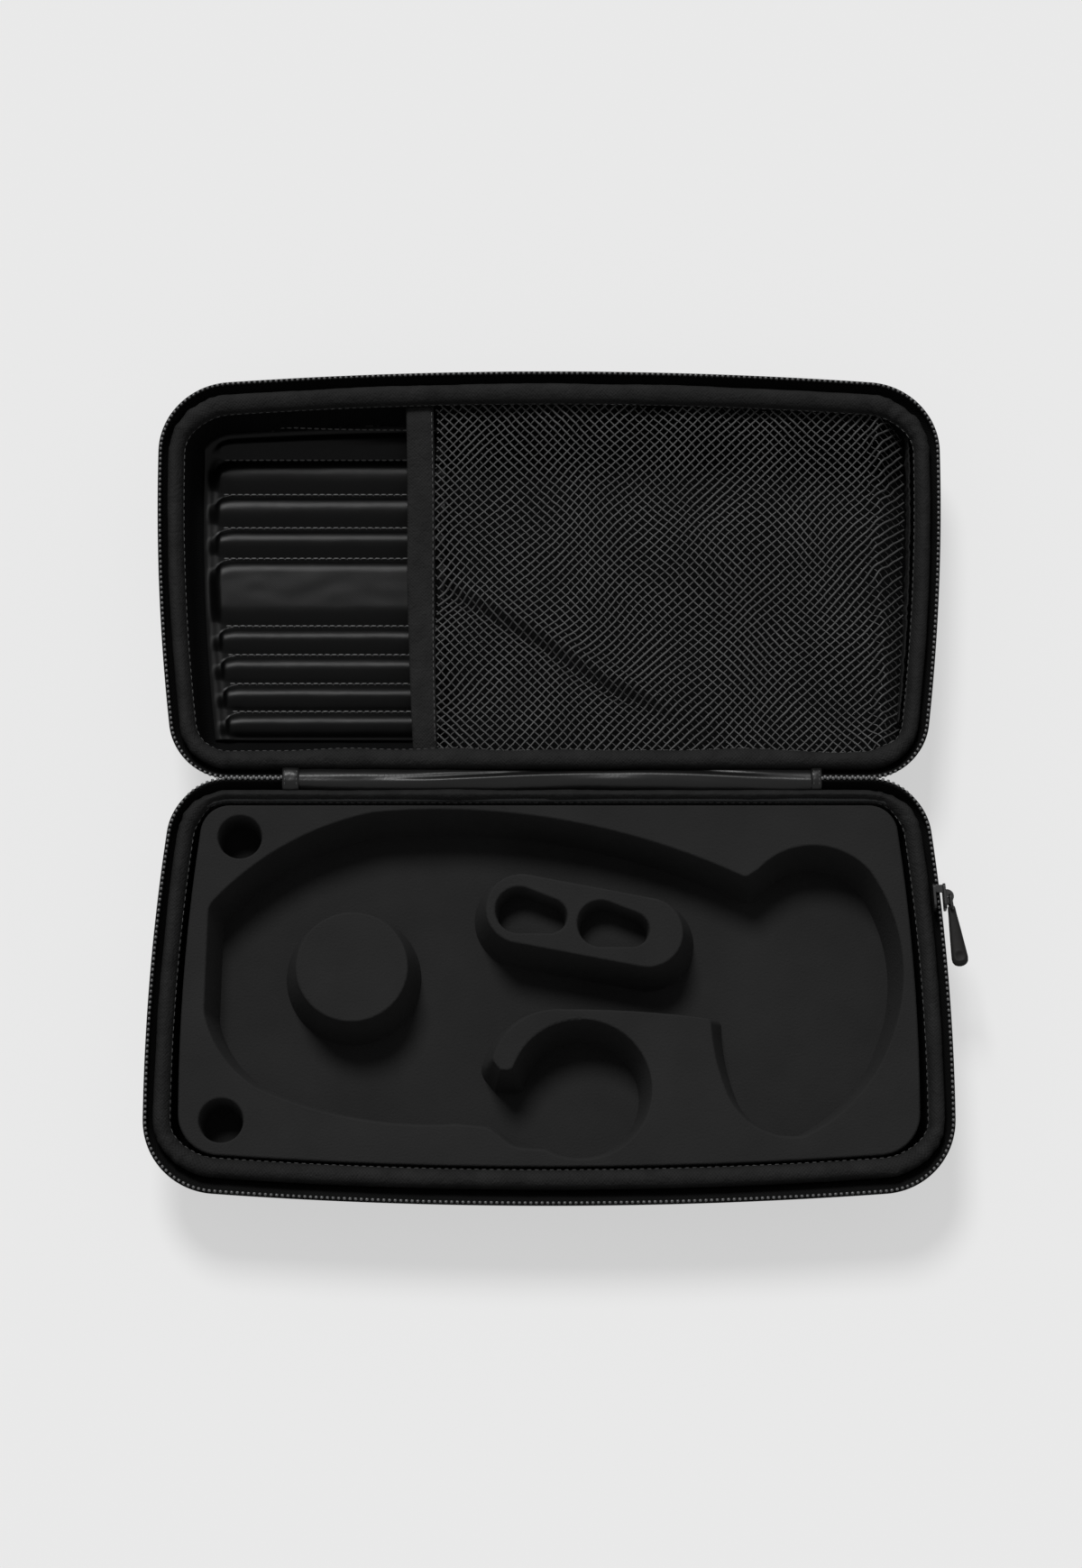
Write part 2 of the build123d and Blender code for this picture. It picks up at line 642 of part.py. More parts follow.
def build_pull() -> None:
    """Writes the wire link and the moulded pull on it."""
    frame = pull_plane()
    neck = LINK_LENGTH
    end = neck + PULL_LENGTH - PULL_END
    loop = link_loop(frame)
    with BuildPart() as pull_link:
        with BuildSketch(loop ^ 0):
            Circle(LINK_WIRE)
        sweep(path=loop)
    save(pull_link, "pull_link")

    with BuildPart() as pull_tab:
        with BuildSketch(frame) as profile:
            with BuildLine():
                start = neck - PULL_NECK
                Line((start, 0), (start, PULL_NECK))
                Line((start, PULL_NECK), (end, PULL_END))
                ThreePointArc(
                    (end, PULL_END), (end + PULL_END * math.sqrt(0.5), PULL_END * math.sqrt(0.5)),
                    (end + PULL_END, 0),
                )
                Line((end + PULL_END, 0), (start, 0))
            make_face()
        revolve(axis=Axis(frame.origin, frame.x_dir), revolution_arc=360)
        with BuildSketch(frame.offset(-PULL_END)):
            with Locations((neck, 0)):
                Circle(LINK_WIRE + LINK_PLAY)
        extrude(amount=2 * PULL_END, mode=Mode.SUBTRACT)
    save(pull_tab, "pull_tab")


os.makedirs("parts", exist_ok=True)
build_rims()
build_insert()
build_pad()
build_net()
build_spine()
build_slider()
build_pull()
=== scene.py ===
"""The looks of a zippered hard case that lies open: woven cloth, cut foam, ribbed pad, net, zip
and studio light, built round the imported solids. The classes hold their sizes in millimetres,
and every mesh is in metres, in the row frame."""

import json
import logging
import math
from collections.abc import Sequence
from dataclasses import dataclass
from enum import Enum
from functools import cache

import bmesh
import bpy
import numpy as np
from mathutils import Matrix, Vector, kdtree, noise

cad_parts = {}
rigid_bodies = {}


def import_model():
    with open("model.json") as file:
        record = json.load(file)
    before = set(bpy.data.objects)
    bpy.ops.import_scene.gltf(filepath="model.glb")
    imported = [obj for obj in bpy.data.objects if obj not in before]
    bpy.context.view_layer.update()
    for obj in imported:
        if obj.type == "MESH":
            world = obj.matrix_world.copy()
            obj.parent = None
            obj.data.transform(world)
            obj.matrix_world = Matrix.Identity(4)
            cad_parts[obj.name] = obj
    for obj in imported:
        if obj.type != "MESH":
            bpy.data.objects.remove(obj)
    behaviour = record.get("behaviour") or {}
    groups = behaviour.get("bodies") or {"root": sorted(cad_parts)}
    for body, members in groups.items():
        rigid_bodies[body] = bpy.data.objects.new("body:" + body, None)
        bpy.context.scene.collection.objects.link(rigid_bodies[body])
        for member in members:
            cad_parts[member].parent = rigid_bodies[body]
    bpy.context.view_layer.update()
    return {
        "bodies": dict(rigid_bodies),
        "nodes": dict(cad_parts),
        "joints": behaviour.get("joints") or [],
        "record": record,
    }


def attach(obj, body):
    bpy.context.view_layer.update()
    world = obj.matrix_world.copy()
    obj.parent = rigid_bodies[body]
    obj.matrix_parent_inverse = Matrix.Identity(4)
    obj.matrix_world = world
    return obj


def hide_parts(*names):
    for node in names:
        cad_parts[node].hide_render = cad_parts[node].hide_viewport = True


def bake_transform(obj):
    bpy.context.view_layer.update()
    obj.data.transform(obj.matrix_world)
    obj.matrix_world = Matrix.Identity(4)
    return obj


LOG = logging.getLogger("hard_case")
METRE = 0.001
HINGE_Y = 76.5
RIM_Z = 33.0
FULL_TURN = 2 * math.pi

Array = np.ndarray
Form = tuple[Array, list]  # places in millimetres and faces
Piece = bpy.types.Object
Socket = bpy.types.NodeSocket
Tree = bpy.types.NodeTree

UP = np.array((0, 0, 1.0))


class Half(Enum):
    """The two trays: the sign says which way a tray lies from the hinge."""

    BASE = -1
    LID = 1

    @property
    def word(self) -> str:
        """The tray's name, which is also its body's."""
        return self.name.lower()


class Grain(Enum):
    """The coordinates that a weave follows."""

    ALONG_PIECE = "UV"
    IN_SPACE = "Object"


# ---- Small tools -------------------------------------------------------------------------


def smooth(value: Array, low: float, high: float) -> Array:
    """A smooth step from 0 at low to 1 at high."""
    share = np.clip((np.asarray(value, float) - low) / (high - low), 0, 1)
    return share * share * (3 - 2 * share)


def hill(value: Array, at: float | Array, width: float) -> Array:
    """A round hill of height 1, a little over a third as high one width from its middle."""
    return np.exp(-(((value - at) / width) ** 2))


def unit(rows: Array) -> Array:
    """Each row's direction."""
    return rows / np.linalg.norm(rows, axis=1)[:, None]


def travelled(line: Array) -> Array:
    """The distance gone at each place of a line."""
    return np.concatenate(([0], np.cumsum(np.linalg.norm(np.diff(line, axis=0), axis=1))))


def along_line(line: Array, travel: Array, marks: Array) -> Array:
    """The places of a line at some distances gone."""
    return np.stack([np.interp(marks, travel, line[:, k]) for k in range(line.shape[1])], axis=1)


@dataclass(frozen=True)
class Ripple:
    """Soft random hills over a piece, the same in every run."""

    height: float
    along: float  # distance between hills one way
    across: float  # and the other
    seed: float
    fullness: float = 1.6  # brings the noise up to about 1

    def at(self, x: Array, y: Array, shift: float = 0.0) -> Array:
        """The hills' height.

        Args:
            x: places one way.
            y: places the other way.
            shift: added to the seed, for other hills.

        Returns:
            One height per place, between about minus and plus the ripple's own.
        """
        x, y = np.broadcast_arrays(x / self.along, y / self.across)
        places = np.stack((x.ravel(), y.ravel(), np.zeros(x.size)), axis=1) + self.seed + shift
        heights = np.array([noise.noise(Vector(place)) for place in places])
        return heights.reshape(x.shape) * self.fullness * self.height


def spline_through(points: Sequence[Sequence[float]], steps: int, closed: bool) -> Array:
    """A smooth line through a few points.

    Args:
        points: the places that the line passes.
        steps: how many pieces each span gets.
        closed: whether the line returns to its start.

    Returns:
        The places along the line.
    """
    knots = np.asarray(points, float)
    count = len(knots)
    picks = np.arange(count if closed else count - 1)[:, None] + (-1, 0, 1, 2)
    picks = picks % count if closed else np.clip(picks, 0, count - 1)
    before, start, end, after = (knots[picks[:, k], None] for k in range(4))
    t = (np.arange(steps) / steps)[None, :, None]
    curve = 2 * start + (end - before) * t
    curve = curve + (2 * before - 5 * start + 4 * end - after) * t * t
    curve = 0.5 * (curve + (3 * start - before - 3 * end + after) * t**3)
    curve = curve.reshape(-1, knots.shape[1])
    return curve if closed else np.vstack((curve, knots[-1:]))


def tube_faces(rings: int, sides: int) -> list[list[int]]:
    """The side faces of a tube.

    Args:
        rings: how many rings of places it has, stored ring by ring.
        sides: how many places a ring has.

    Returns:
        Lists of place numbers.
    """
    faces = []
    for ring in range(rings - 1):
        for side in range(sides):
            here, after = ring * sides + side, ring * sides + (side + 1) % sides
            faces.append([here, after, after + sides, here + sides])
    return faces


def taken_from(work: bmesh.types.BMesh) -> Form:
    """Reads a mesh in work and lets it go.

    Args:
        work: the mesh in work.

    Returns:
        Its places, as they are, and its faces.
    """
    places = np.array([vertex.co for vertex in work.verts])
    faces = [[vertex.index for vertex in face.verts] for face in work.faces]
    work.free()
    return places, faces


def new_object(name: str, vertices: Array, faces: Sequence, smooth_angle: float) -> Piece:
    """A mesh object from places in millimetres.

    Args:
        name: the piece's name.
        vertices: its places, in the row frame.
        faces: lists of vertex numbers.
        smooth_angle: edges sharper than this, in degrees, stay sharp.

    Returns:
        The linked object.
    """
    mesh = bpy.data.meshes.new(name)
    mesh.from_pydata((np.asarray(vertices) * METRE).tolist(), [], [list(f) for f in faces])
    mesh.update()
    piece = bpy.data.objects.new(name, mesh)
    bpy.context.scene.collection.objects.link(piece)
    work = bmesh.new()
    work.from_mesh(mesh)
    bmesh.ops.recalc_face_normals(work, faces=work.faces)
    work.to_mesh(mesh)
    work.free()
    mesh.shade_smooth()
    mesh.set_sharp_from_angle(angle=math.radians(smooth_angle))
    return piece


def grid_piece(
    name: str, grid: Array, ring: bool = False, tube: bool = False, smooth_angle: float = 60
) -> Piece:
    """A sheet or a swept form, with its own length and width as texture coordinates.

    Args:
        name: the piece's name.
        grid: places in millimetres, along by across by three.
        ring: whether the last row joins the first.
        tube: whether the last column joins the first.
        smooth_angle: edges sharper than this, in degrees, stay sharp.

    Returns:
        The linked object.
    """
    along, across = grid.shape[:2]
    rows = np.arange(along if ring else along - 1)
    columns = np.arange(across if tube else across - 1)
    row, column = (a.ravel() for a in np.meshgrid(rows, columns, indexing="ij"))
    next_row, next_column = (row + 1) % along, (column + 1) % across
    corners = ((row, column), (next_row, column), (next_row, next_column), (row, next_column))
    faces = np.stack([i * across + j for i, j in corners], axis=1)
    piece = new_object(name, grid.reshape(-1, 3), faces, smooth_angle)

    middle = grid[:, across // 2]
    u = travelled(np.vstack((middle, middle[:1])))
    ribs = np.linalg.norm(np.diff(np.concatenate((grid, grid[:, :1]), 1), axis=1), axis=2)
    v = np.concatenate(([0], np.cumsum(ribs.mean(0))))
    ends = np.empty(len(piece.data.loops), np.int32)
    piece.data.loops.foreach_get("vertex_index", ends)
    i, j = np.divmod(ends.reshape(-1, 4), across)
    i = np.where((np.ptp(i, axis=1) > 1)[:, None] & (i == 0), along, i)
    j = np.where((np.ptp(j, axis=1) > 1)[:, None] & (j == 0), across, j)
    cut = np.stack((u[i], v[j]), axis=-1).astype(np.float32)
    piece.data.uv_layers.new(name="cut").data.foreach_set("uv", cut.ravel())
    return piece


def tiled_piece(
    name: str, stamp: Form, origins: Array, axes: tuple[Array, Array, Array]
) -> Piece:
    """Many copies of one small form in a single mesh.

    Args:
        name: the piece's name.
        stamp: the small form.
        origins: where the copies stand.
        axes: the three directions of each copy.

    Returns:
        The linked object.
    """
    places, faces = stamp
    spread = origins[:, None, :] + sum(
        places[None, :, k, None] * axes[k][:, None, :] for k in range(3)
    )
    starts = range(0, len(origins) * len(places), len(places))
    all_faces = [[index + start for index in face] for start in starts for face in faces]
    return new_object(name, spread.reshape(-1, 3), all_faces, 50)


def rounded_block(size: tuple[float, float, float], edge: float) -> Form:
    """A block with rounded edges.

    Args:
        size: its three lengths.
        edge: the radius of its edges.

    Returns:
        Places and faces round the block's middle.
    """
    work = bmesh.new()
    bmesh.ops.create_cube(work, size=1)
    bmesh.ops.scale(work, vec=Vector(size), verts=work.verts)
    bmesh.ops.bevel(
        work, geom=list(work.edges), offset=edge, segments=2, profile=0.5, affect="EDGES"
    )
    return taken_from(work)


def thread_bead(length: float, radius: float, sides: int = 6) -> Form:
    """One visible length of sewing thread, along X.

    Args:
        length: from end to end.
        radius: at its middle.
        sides: how many sides it has.

    Returns:
        Places and faces of the bead.
    """
    along_and_girth = ((-0.5, 0.35), (-0.38, 0.85), (0.0, 1.0), (0.38, 0.85), (0.5, 0.35))
    stations = np.array(along_and_girth)
    turns = np.arange(sides) * FULL_TURN / sides
    girth = stations[:, 1:] * radius
    rings = (stations[:, :1] * length, girth * np.cos(turns), girth * np.sin(turns))
    places = np.stack(np.broadcast_arrays(*rings), axis=-1).reshape(-1, 3)
    ends = [list(range(sides))[::-1], list(range(len(places) - sides, len(places)))]
    return places, tube_faces(len(stations), sides) + ends


def sewn_row(name: str, path: Array, pitch: float, bead: tuple[float, float]) -> Piece:
    """A row of stitches along a path.

    Args:
        name: the piece's name.
        path: places in millimetres.
        pitch: distance from stitch to stitch.
        bead: a stitch's length and radius.

    Returns:
        The linked object.
    """
    look = 0.3  # how far ahead the path's direction is read
    travel = travelled(path)
    marks = np.arange(pitch, travel[-1] - pitch / 2, pitch)
    origins = along_line(path, travel, marks)
    forward = unit(along_line(path, travel, marks + look) - origins)
    side = unit(np.cross(UP, forward))
    return tiled_piece(name, thread_bead(*bead), origins, (forward, side, np.cross(forward, side)))


def thicken(piece: Piece, thickness: float, offset: float = -1.0) -> Piece:
    """Gives a sheet its thickness.

    Args:
        piece: the sheet.
        thickness: in millimetres.
        offset: -1 for inwards, 0 for both ways.

    Returns:
        The sheet.
    """
    thick = piece.modifiers.new("thickness", "SOLIDIFY")
    thick.thickness = thickness * METRE
    thick.offset = offset
    return piece


def join_pieces(pieces: list[Piece]) -> Piece:
    """Makes one mesh object of several and removes the rest.

    Args:
        pieces: the objects, the first of which is kept.

    Returns:
        The kept object with every mesh in it.
    """
    work = bmesh.new()
    for piece in pieces:
        work.from_mesh(piece.data)
    work.to_mesh(pieces[0].data)
    work.free()
    pieces[0].data.shade_smooth()
    for piece in pieces[1:]:
        bpy.data.objects.remove(piece)
    return pieces[0]


# ---- Finishes ----------------------------------------------------------------------------


def feed(tree: Tree, node: bpy.types.Node, inputs: dict) -> None:
    """Sets or links a node's inputs.

    Args:
        tree: the material's or the world's nodes.
        node: the node.
        inputs: for each input's name or number, a constant or the socket that it is linked to.
    """
    for key, value in inputs.items():
        if isinstance(value, Socket):
            tree.links.new(value, node.inputs[key])
        else:
            node.inputs[key].default_value = value


def add_node(
    tree: Tree, kind: str, output: str, inputs: dict | None = None, operation: str = ""
) -> Socket:
    """Adds a shader node.

    Args:
        tree: the material's or the world's nodes.
        kind: the node's type, without its first word.
        output: the output that is used.
        inputs: its inputs, as feed() takes them.
        operation: what a node that calculates does.

    Returns:
        The output.
    """
    node = tree.nodes.new("ShaderNode" + kind)
    if operation:
        node.operation = operation
    feed(tree, node, inputs or {})
    return node.outputs[output]


def mixed_shades(tree: Tree, way: str, factor: float | Socket, inputs: dict) -> Socket:
    """Adds a node that mixes two shades.

    Args:
        tree: the material's nodes.
        way: how the shades are mixed.
        factor: how much of the second there is.
        inputs: the shades A and B, as feed() takes them.

    Returns:
        The mixed shade.
    """
    node = tree.nodes.new("ShaderNodeMix")
    node.data_type = "RGBA"
    node.blend_type = way
    feed(tree, node, {"Factor": factor, **inputs})
    return node.outputs["Result"]


@dataclass(frozen=True)
class Finish:
    """What a surface is made of. Lengths are in millimetres."""

    name: str
    shade: tuple[float, float, float]
    roughness: float
    grain: Grain = Grain.IN_SPACE
    thread: float = 0.0  # pitch of the weave, 0 for none
    thread_depth: float = 0.0
    thread_shade: tuple[float, float] = (0.62, 1.25)  # share of the shade in the weave's low places, which is painted shade, and on its crests, which is painted highlight
    thread_lean: tuple[float, float] = (0.72, 0.69)  # of both threads, so that walls show them
    nap: float = 0.0  # height of the fine fuzz, cells or grain
    nap_size: float = 0.4
    blotch: float = 0.1  # share by which the shade wanders
    blotch_size: float = 16.0
    shine_wander: float = 0.06
    specular: float = 0.25
    sheen: float = 0.0
    sheen_roughness: float = 0.4
    coat: float = 0.0
    coat_roughness: float = 0.25

    @cache
    def make(self) -> bpy.types.Material:
        """Wires the finish's nodes, the first time that it is asked for.

        Returns:
            The material.
        """
        material = bpy.data.materials.new(self.name)
        material.use_nodes = True
        tree = material.node_tree
        place = add_node(tree, "TexCoord", "Object")
        low, high = (
            (*(part * share for part in self.shade), 1)
            for share in (1 - 2 * self.blotch, 1 + 2 * self.blotch)
        )
        clouds = self.speckle(tree, place, self.blotch_size, 3.0)
        colour = mixed_shades(tree, "MIX", clouds, {"A": low, "B": high})
        gloss = self.spread(
            tree,
            self.speckle(tree, place, self.blotch_size * 0.4, 2.0),
            (self.roughness - self.shine_wander, self.roughness + self.shine_wander),
        )
        inputs = {"Roughness": gloss}
        if self.nap:
            fuzz = self.speckle(tree, place, self.nap_size, 4.0)
            inputs["Normal"] = self.relief(tree, fuzz, self.nap, None)
        if self.thread:
            weave = self.weave(tree)
            inputs["Normal"] = self.relief(tree, weave, self.thread_depth, inputs.get("Normal"))
            # the weave's low places are painted darker and its crests lighter: painted shade and
            # painted highlight
            dip = self.spread(tree, weave, self.thread_shade)
            colour = mixed_shades(tree, "MULTIPLY", 1.0, {"A": colour, "B": dip})
        inputs["Base Color"] = colour
        constants = {
            "Specular IOR Level": self.specular,
            "Sheen Weight": self.sheen,
            "Sheen Roughness": self.sheen_roughness,
            "Coat Weight": self.coat,
            "Coat Roughness": self.coat_roughness,
        }
        feed(tree, tree.nodes["Principled BSDF"], constants | inputs)
        return material

    def dress(self, piece: Piece) -> None:
        """Gives a piece this finish.

        Args:
            piece: the piece.
        """
        piece.data.materials.clear()
        piece.data.materials.append(self.make())

    def spread(self, tree: Tree, share: Socket, ends: tuple[float, float]) -> Socket:
        """Turns a share from 0 to 1 into a value between two ends."""
        inputs = {"Value": share, "To Min": ends[0], "To Max": ends[1]}
        return add_node(tree, "MapRange", "Result", inputs)

    def speckle(self, tree: Tree, place: Socket, size: float, detail: float) -> Socket:
        """Cloudy noise of a size in millimetres, with some finer layers."""
        inputs = {"Scale": 1 / (size * METRE), "Detail": detail, "Vector": place}
        return add_node(tree, "TexNoise", "Fac", inputs)

    def weave(self, tree: Tree) -> Socket:
        """Threads that cross over and under each other.

        Args:
            tree: the material's nodes.

        Returns:
            The threads' height, from 0 to 1.
        """
        if self.grain is Grain.ALONG_PIECE:
            place = add_node(tree, "UVMap", "UV")
            turn = math.pi / self.thread
            directions = ((turn, 0, 0), (0, turn, 0))
        else:
            place = add_node(tree, "TexCoord", "Object")
            turn = math.pi / (self.thread * METRE)
            lean, other_lean = self.thread_lean
            directions = ((turn, 0, turn * lean), (0, turn, turn * other_lean))
        waves = []
        for way in directions:
            travel = add_node(tree, "VectorMath", "Value", {0: place, 1: way}, "DOT_PRODUCT")
            waves.append(add_node(tree, "Math", "Value", {0: travel}, "SINE"))
        crossing = add_node(tree, "Math", "Value", dict(enumerate(waves)), "MULTIPLY")
        return add_node(tree, "MapRange", "Result", {"Value": crossing, "From Min": -1.0})

    def relief(self, tree: Tree, height: Socket, depth: float, under: Socket | None) -> Socket:
        """A bump node.

        Args:
            tree: the material's nodes.
            height: the bump's height, from 0 to 1.
            depth: how deep it is.
            under: the normal that it adds to, or None.

        Returns:
            The new normal.
        """
        inputs = {"Distance": depth * METRE, "Height": height}
        if under:
            inputs["Normal"] = under
        return add_node(tree, "Bump", "Normal", inputs)


def grey(level: float, warmth: float = 0.0) -> tuple[float, float, float]:
    """A near-black or grey shade, a little blue below zero warmth and brown above it."""
    return (level * (1 + warmth), level, level * (1 - warmth))


SHELL_CLOTH = Finish(
    "shell_cloth", grey(0.013, -0.03), 0.8, thread=0.62, thread_depth=0.12, nap=0.04,
    sheen=0.05, specular=0.12,
)
# The lining's near black is partly its own dark cloth and partly painted shade, darker than the
# shell's cloth so that the tray's walls look shaded.
LINING_CLOTH = Finish(
    "lining_cloth", grey(0.0045, -0.02), 0.9, thread=0.5, thread_depth=0.05, nap=0.08,
    blotch=0.14, specular=0.03,
)
BINDING_CLOTH = Finish(
    "binding_cloth", grey(0.0105), 0.7, Grain.ALONG_PIECE, thread=0.62, thread_depth=0.07,
    nap=0.5, nap_size=1.15, blotch=0.3, blotch_size=7, specular=0.08,
)
ZIP_TAPE = Finish(
    "zip_tape", grey(0.004), 0.85, Grain.ALONG_PIECE, thread=0.6, thread_depth=0.1,
    specular=0.05,
)
ZIP_TEETH = Finish(
    "zip_teeth", grey(0.055, -0.01), 0.35, nap=0.02, nap_size=0.6, blotch=0.3, blotch_size=2.5,
    specular=0.45,
)
INSERT_FOAM = Finish(
    "insert_foam", grey(0.0175), 0.93, nap=0.26, nap_size=0.8, blotch_size=22, specular=0.08,
)
PAD_CLOTH = Finish(
    "pad_cloth", grey(0.001, -0.02), 0.31, thread=0.42, thread_depth=0.02, nap=0.03,
    shine_wander=0.02, specular=0.085,
)
NET_CORD = Finish(
    "net_cord", grey(0.042), 0.5, nap=0.04, nap_size=0.5, blotch=0.3, blotch_size=14,
    specular=0.3,
)
SPINE_SATIN = Finish(
    "spine_satin", grey(0.0055), 0.36, nap=0.05, nap_size=0.9, blotch=0.08, specular=0.22,
)
SEWING_THREAD = Finish(
    "sewing_thread", grey(0.045), 0.6, nap=0.03, nap_size=0.3, blotch=0.15, specular=0.3,
)
PAD_THREAD = Finish(
    "pad_thread", grey(0.09), 0.6, nap=0.03, nap_size=0.3, blotch=0.15, specular=0.3,
)
SLIDER_METAL = Finish(
    "slider_metal", grey(0.003), 0.45, nap=0.01, nap_size=0.5, blotch_size=4, coat=0.04,
)
PULL_MOULDING = Finish(
    "pull_moulding", grey(0.0045, 0.06), 0.6, nap=0.03, nap_size=0.5, blotch=0.12, blotch_size=5,
    specular=0.14,
)


def settle(piece: Piece, finish: Finish, body: str, node: str = "") -> Piece:
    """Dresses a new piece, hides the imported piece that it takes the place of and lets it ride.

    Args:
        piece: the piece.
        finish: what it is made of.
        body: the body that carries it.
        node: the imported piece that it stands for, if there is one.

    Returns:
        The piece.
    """
    finish.dress(piece)
    if node:
        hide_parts(node)
    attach(piece, body)
    return piece


# ---- The rim's line ----------------------------------------------------------------------


@dataclass
class RimLine:
    """The line that the zip follows round one tray, seen from above."""

    half: Half
    front_extra: float  # how much further in the tray's front lies than the zip's
    half_depth: float = 153.0
    side_reach: float = 141.0
    widest_at: float = 118.0
    side_bow: float = 0.000635
    front_bow: float = 0.00031
    hinge_corner: float = 22.0
    front_corner: float = 26.5
    hinge_gap: float = 0.2
    step: float = 1.25
    corner_span: int = 3  # steps each way over which the line's turn is read
    corner_turn: tuple[float, float] = (0.012, 0.04)  # turn in one millimetre, side to corner
    hinge_side: tuple[float, float] = (0.55, 0.99)

    def __post_init__(self) -> None:
        """Works out the line, its inward directions and how much each place is a corner."""
        self.word = self.half.word
        self.tree: kdtree.KDTree | None = None
        dense = self.right_half()
        closed = np.vstack((dense, (dense[::-1] * (-1, 1))[1:]))
        travel = travelled(closed)
        self.length = float(travel[-1])
        count = round(self.length / self.step)
        self.along = np.arange(count) * self.length / count
        self.line = along_line(closed, travel, self.along)
        tangent = unit(np.roll(self.line, -1, 0) - np.roll(self.line, 1, 0))
        self.inward = np.stack((-tangent[:, 1], tangent[:, 0]), axis=1)
        span = self.corner_span
        turn = np.linalg.norm(np.roll(tangent, -span, 0) - np.roll(tangent, span, 0), axis=1)
        self.corner = smooth(turn / (2 * span * self.step), *self.corner_turn)
        self.front = smooth(-self.inward[:, 1], 0.0, 1.0)
        self.hinge = smooth(self.inward[:, 1], *self.hinge_side)

    def side_x(self, reach: float | Array) -> float | Array:
        """Half the tray's length at a distance from the hinge line."""
        return self.side_reach - self.side_bow * (reach - self.widest_at) ** 2

    def side_slope(self, reach: float) -> tuple[float, float]:
        """How the side leans at a distance from the hinge line, and how much that lengthens it."""
        slope = -2 * self.side_bow * (reach - self.widest_at)
        return slope, math.hypot(1, slope)

    def right_half(self) -> Array:
        """The line's right half, from the middle of the hinge to the middle of the front.

        Returns:
            Each place's x and distance from the hinge.
        """
        first, second = self.hinge_corner, self.front_corner
        low = self.hinge_gap + first
        for _ in range(6):
            slope, stretch = self.side_slope(low)
            low = self.hinge_gap + first - first * slope / stretch
        near = np.array((self.side_x(low) - first / stretch, self.hinge_gap + first))
        near_end = math.atan2(-slope, 1)

        high, across = self.half_depth - 2 * second, self.side_reach - second
        for _ in range(30):
            slope, stretch = self.side_slope(high)
            fall = 2 * self.front_bow * across
            lean = math.hypot(1, fall)
            centre_x = self.side_x(high) - second / stretch
            across = centre_x + second * fall / lean
            centre_y = self.half_depth - self.front_bow * across**2 - second / lean
            high = centre_y - second * slope / stretch
        far_start, far_end = math.atan2(-slope, 1), math.atan2(1, fall)

        near_turn = np.linspace(-math.pi / 2, near_end, 60)
        far_turn = np.linspace(far_start, far_end, 60)
        hinge = np.linspace(0, near[0], 80)
        side = np.linspace(low, high, 120)
        front = np.linspace(across, 0, 120)
        stretches = (
            np.stack((hinge, np.full(len(hinge), self.hinge_gap)), 1),
            near + first * np.stack((np.cos(near_turn), np.sin(near_turn)), 1)[1:],
            np.stack((self.side_x(side), side), 1)[1:],
            (centre_x, centre_y) + second * np.stack((np.cos(far_turn), np.sin(far_turn)), 1)[1:],
            np.stack((front, self.half_depth - self.front_bow * front**2), 1)[1:],
        )
        return np.vstack(stretches)

    def places(
        self, inset: float | Array, depth: float | Array, extra: float | None = None
    ) -> Array:
        """Places round the rim.

        Args:
            inset: distance in from the zip's outermost line.
            depth: distance under the closing plane.
            extra: how much further in the front lies, or None for the tray's own value.

        Returns:
            One place in the row frame for each place of the line.
        """
        extra = self.front_extra if extra is None else extra
        flat = self.line + self.inward * np.reshape(inset, (-1, 1))
        flat[:, 1] -= extra * self.front
        return self.row(flat[:, 0], flat[:, 1], depth)

    def row(self, x: Array, reach: Array, depth: float | Array) -> Array:
        """Turns a distance along and from the hinge and a depth into the row frame."""
        x, reach, depth = np.broadcast_arrays(x, reach, depth)
        return np.stack((x, HINGE_Y + self.half.value * reach, RIM_Z - depth), axis=-1)

    def inset_at(self, x: Array, reach: Array) -> Array:
        """How far in from the zip's outermost line, moved in at the front, places lie.

        Args:
            x: where the places lie along the hinge.
            reach: how far they lie from the hinge.

        Returns:
            The distance of each place.
        """
        edge = self.line - np.stack((self.front * 0, self.front_extra * self.front), 1)
        if self.tree is None:
            self.tree = kdtree.KDTree(len(edge))
            for index, place in enumerate(edge):
                self.tree.insert((*place, 0.0), index)
            self.tree.balance()
        places = np.stack(np.broadcast_arrays(x, reach), -1).reshape(-1, 2)
        nearest = np.array([self.tree.find((*place, 0.0))[1] for place in places.tolist()])
        found = ((places - edge[nearest]) * self.inward[nearest]).sum(-1)
        return found.reshape(np.broadcast(x, reach).shape)

    def holds(self, places: Array, inset: float) -> Array:
        """Which places lie inside the rim drawn in by an inset.

        Args:
            places: x and distance from the hinge, one row each.
            inset: how far in from the zip's outermost line.

        Returns:
            True for each place inside.
        """
        edge = self.line + self.inward * inset
        edge[:, 1] -= self.front_extra * self.front
        x, reach = places.T
        inside = np.zeros(len(places), bool)
        for start, end in zip(edge, np.roll(edge, -1, 0)):
            if start[1] == end[1]:
                continue
            spans = (start[1] > reach) != (end[1] > reach)
            crossing = start[0] + (reach - start[1]) * (end[0] - start[0]) / (end[1] - start[1])
            inside ^= spans & (x < crossing)
        return inside


# ---- Trays and rims ----------------------------------------------------------------------


@dataclass
class TrayShell:
    """A tray's moulded shell, which keeps its packed form."""

    rim: RimLine
    frame: dict

    def build(self) -> list[Piece]:
        """Dresses the shell in its outside cloth.

        Returns:
            The shell.
        """
        shell = self.frame["nodes"][f"{self.rim.word}_shell"]
        SHELL_CLOTH.dress(shell)
        return [shell]


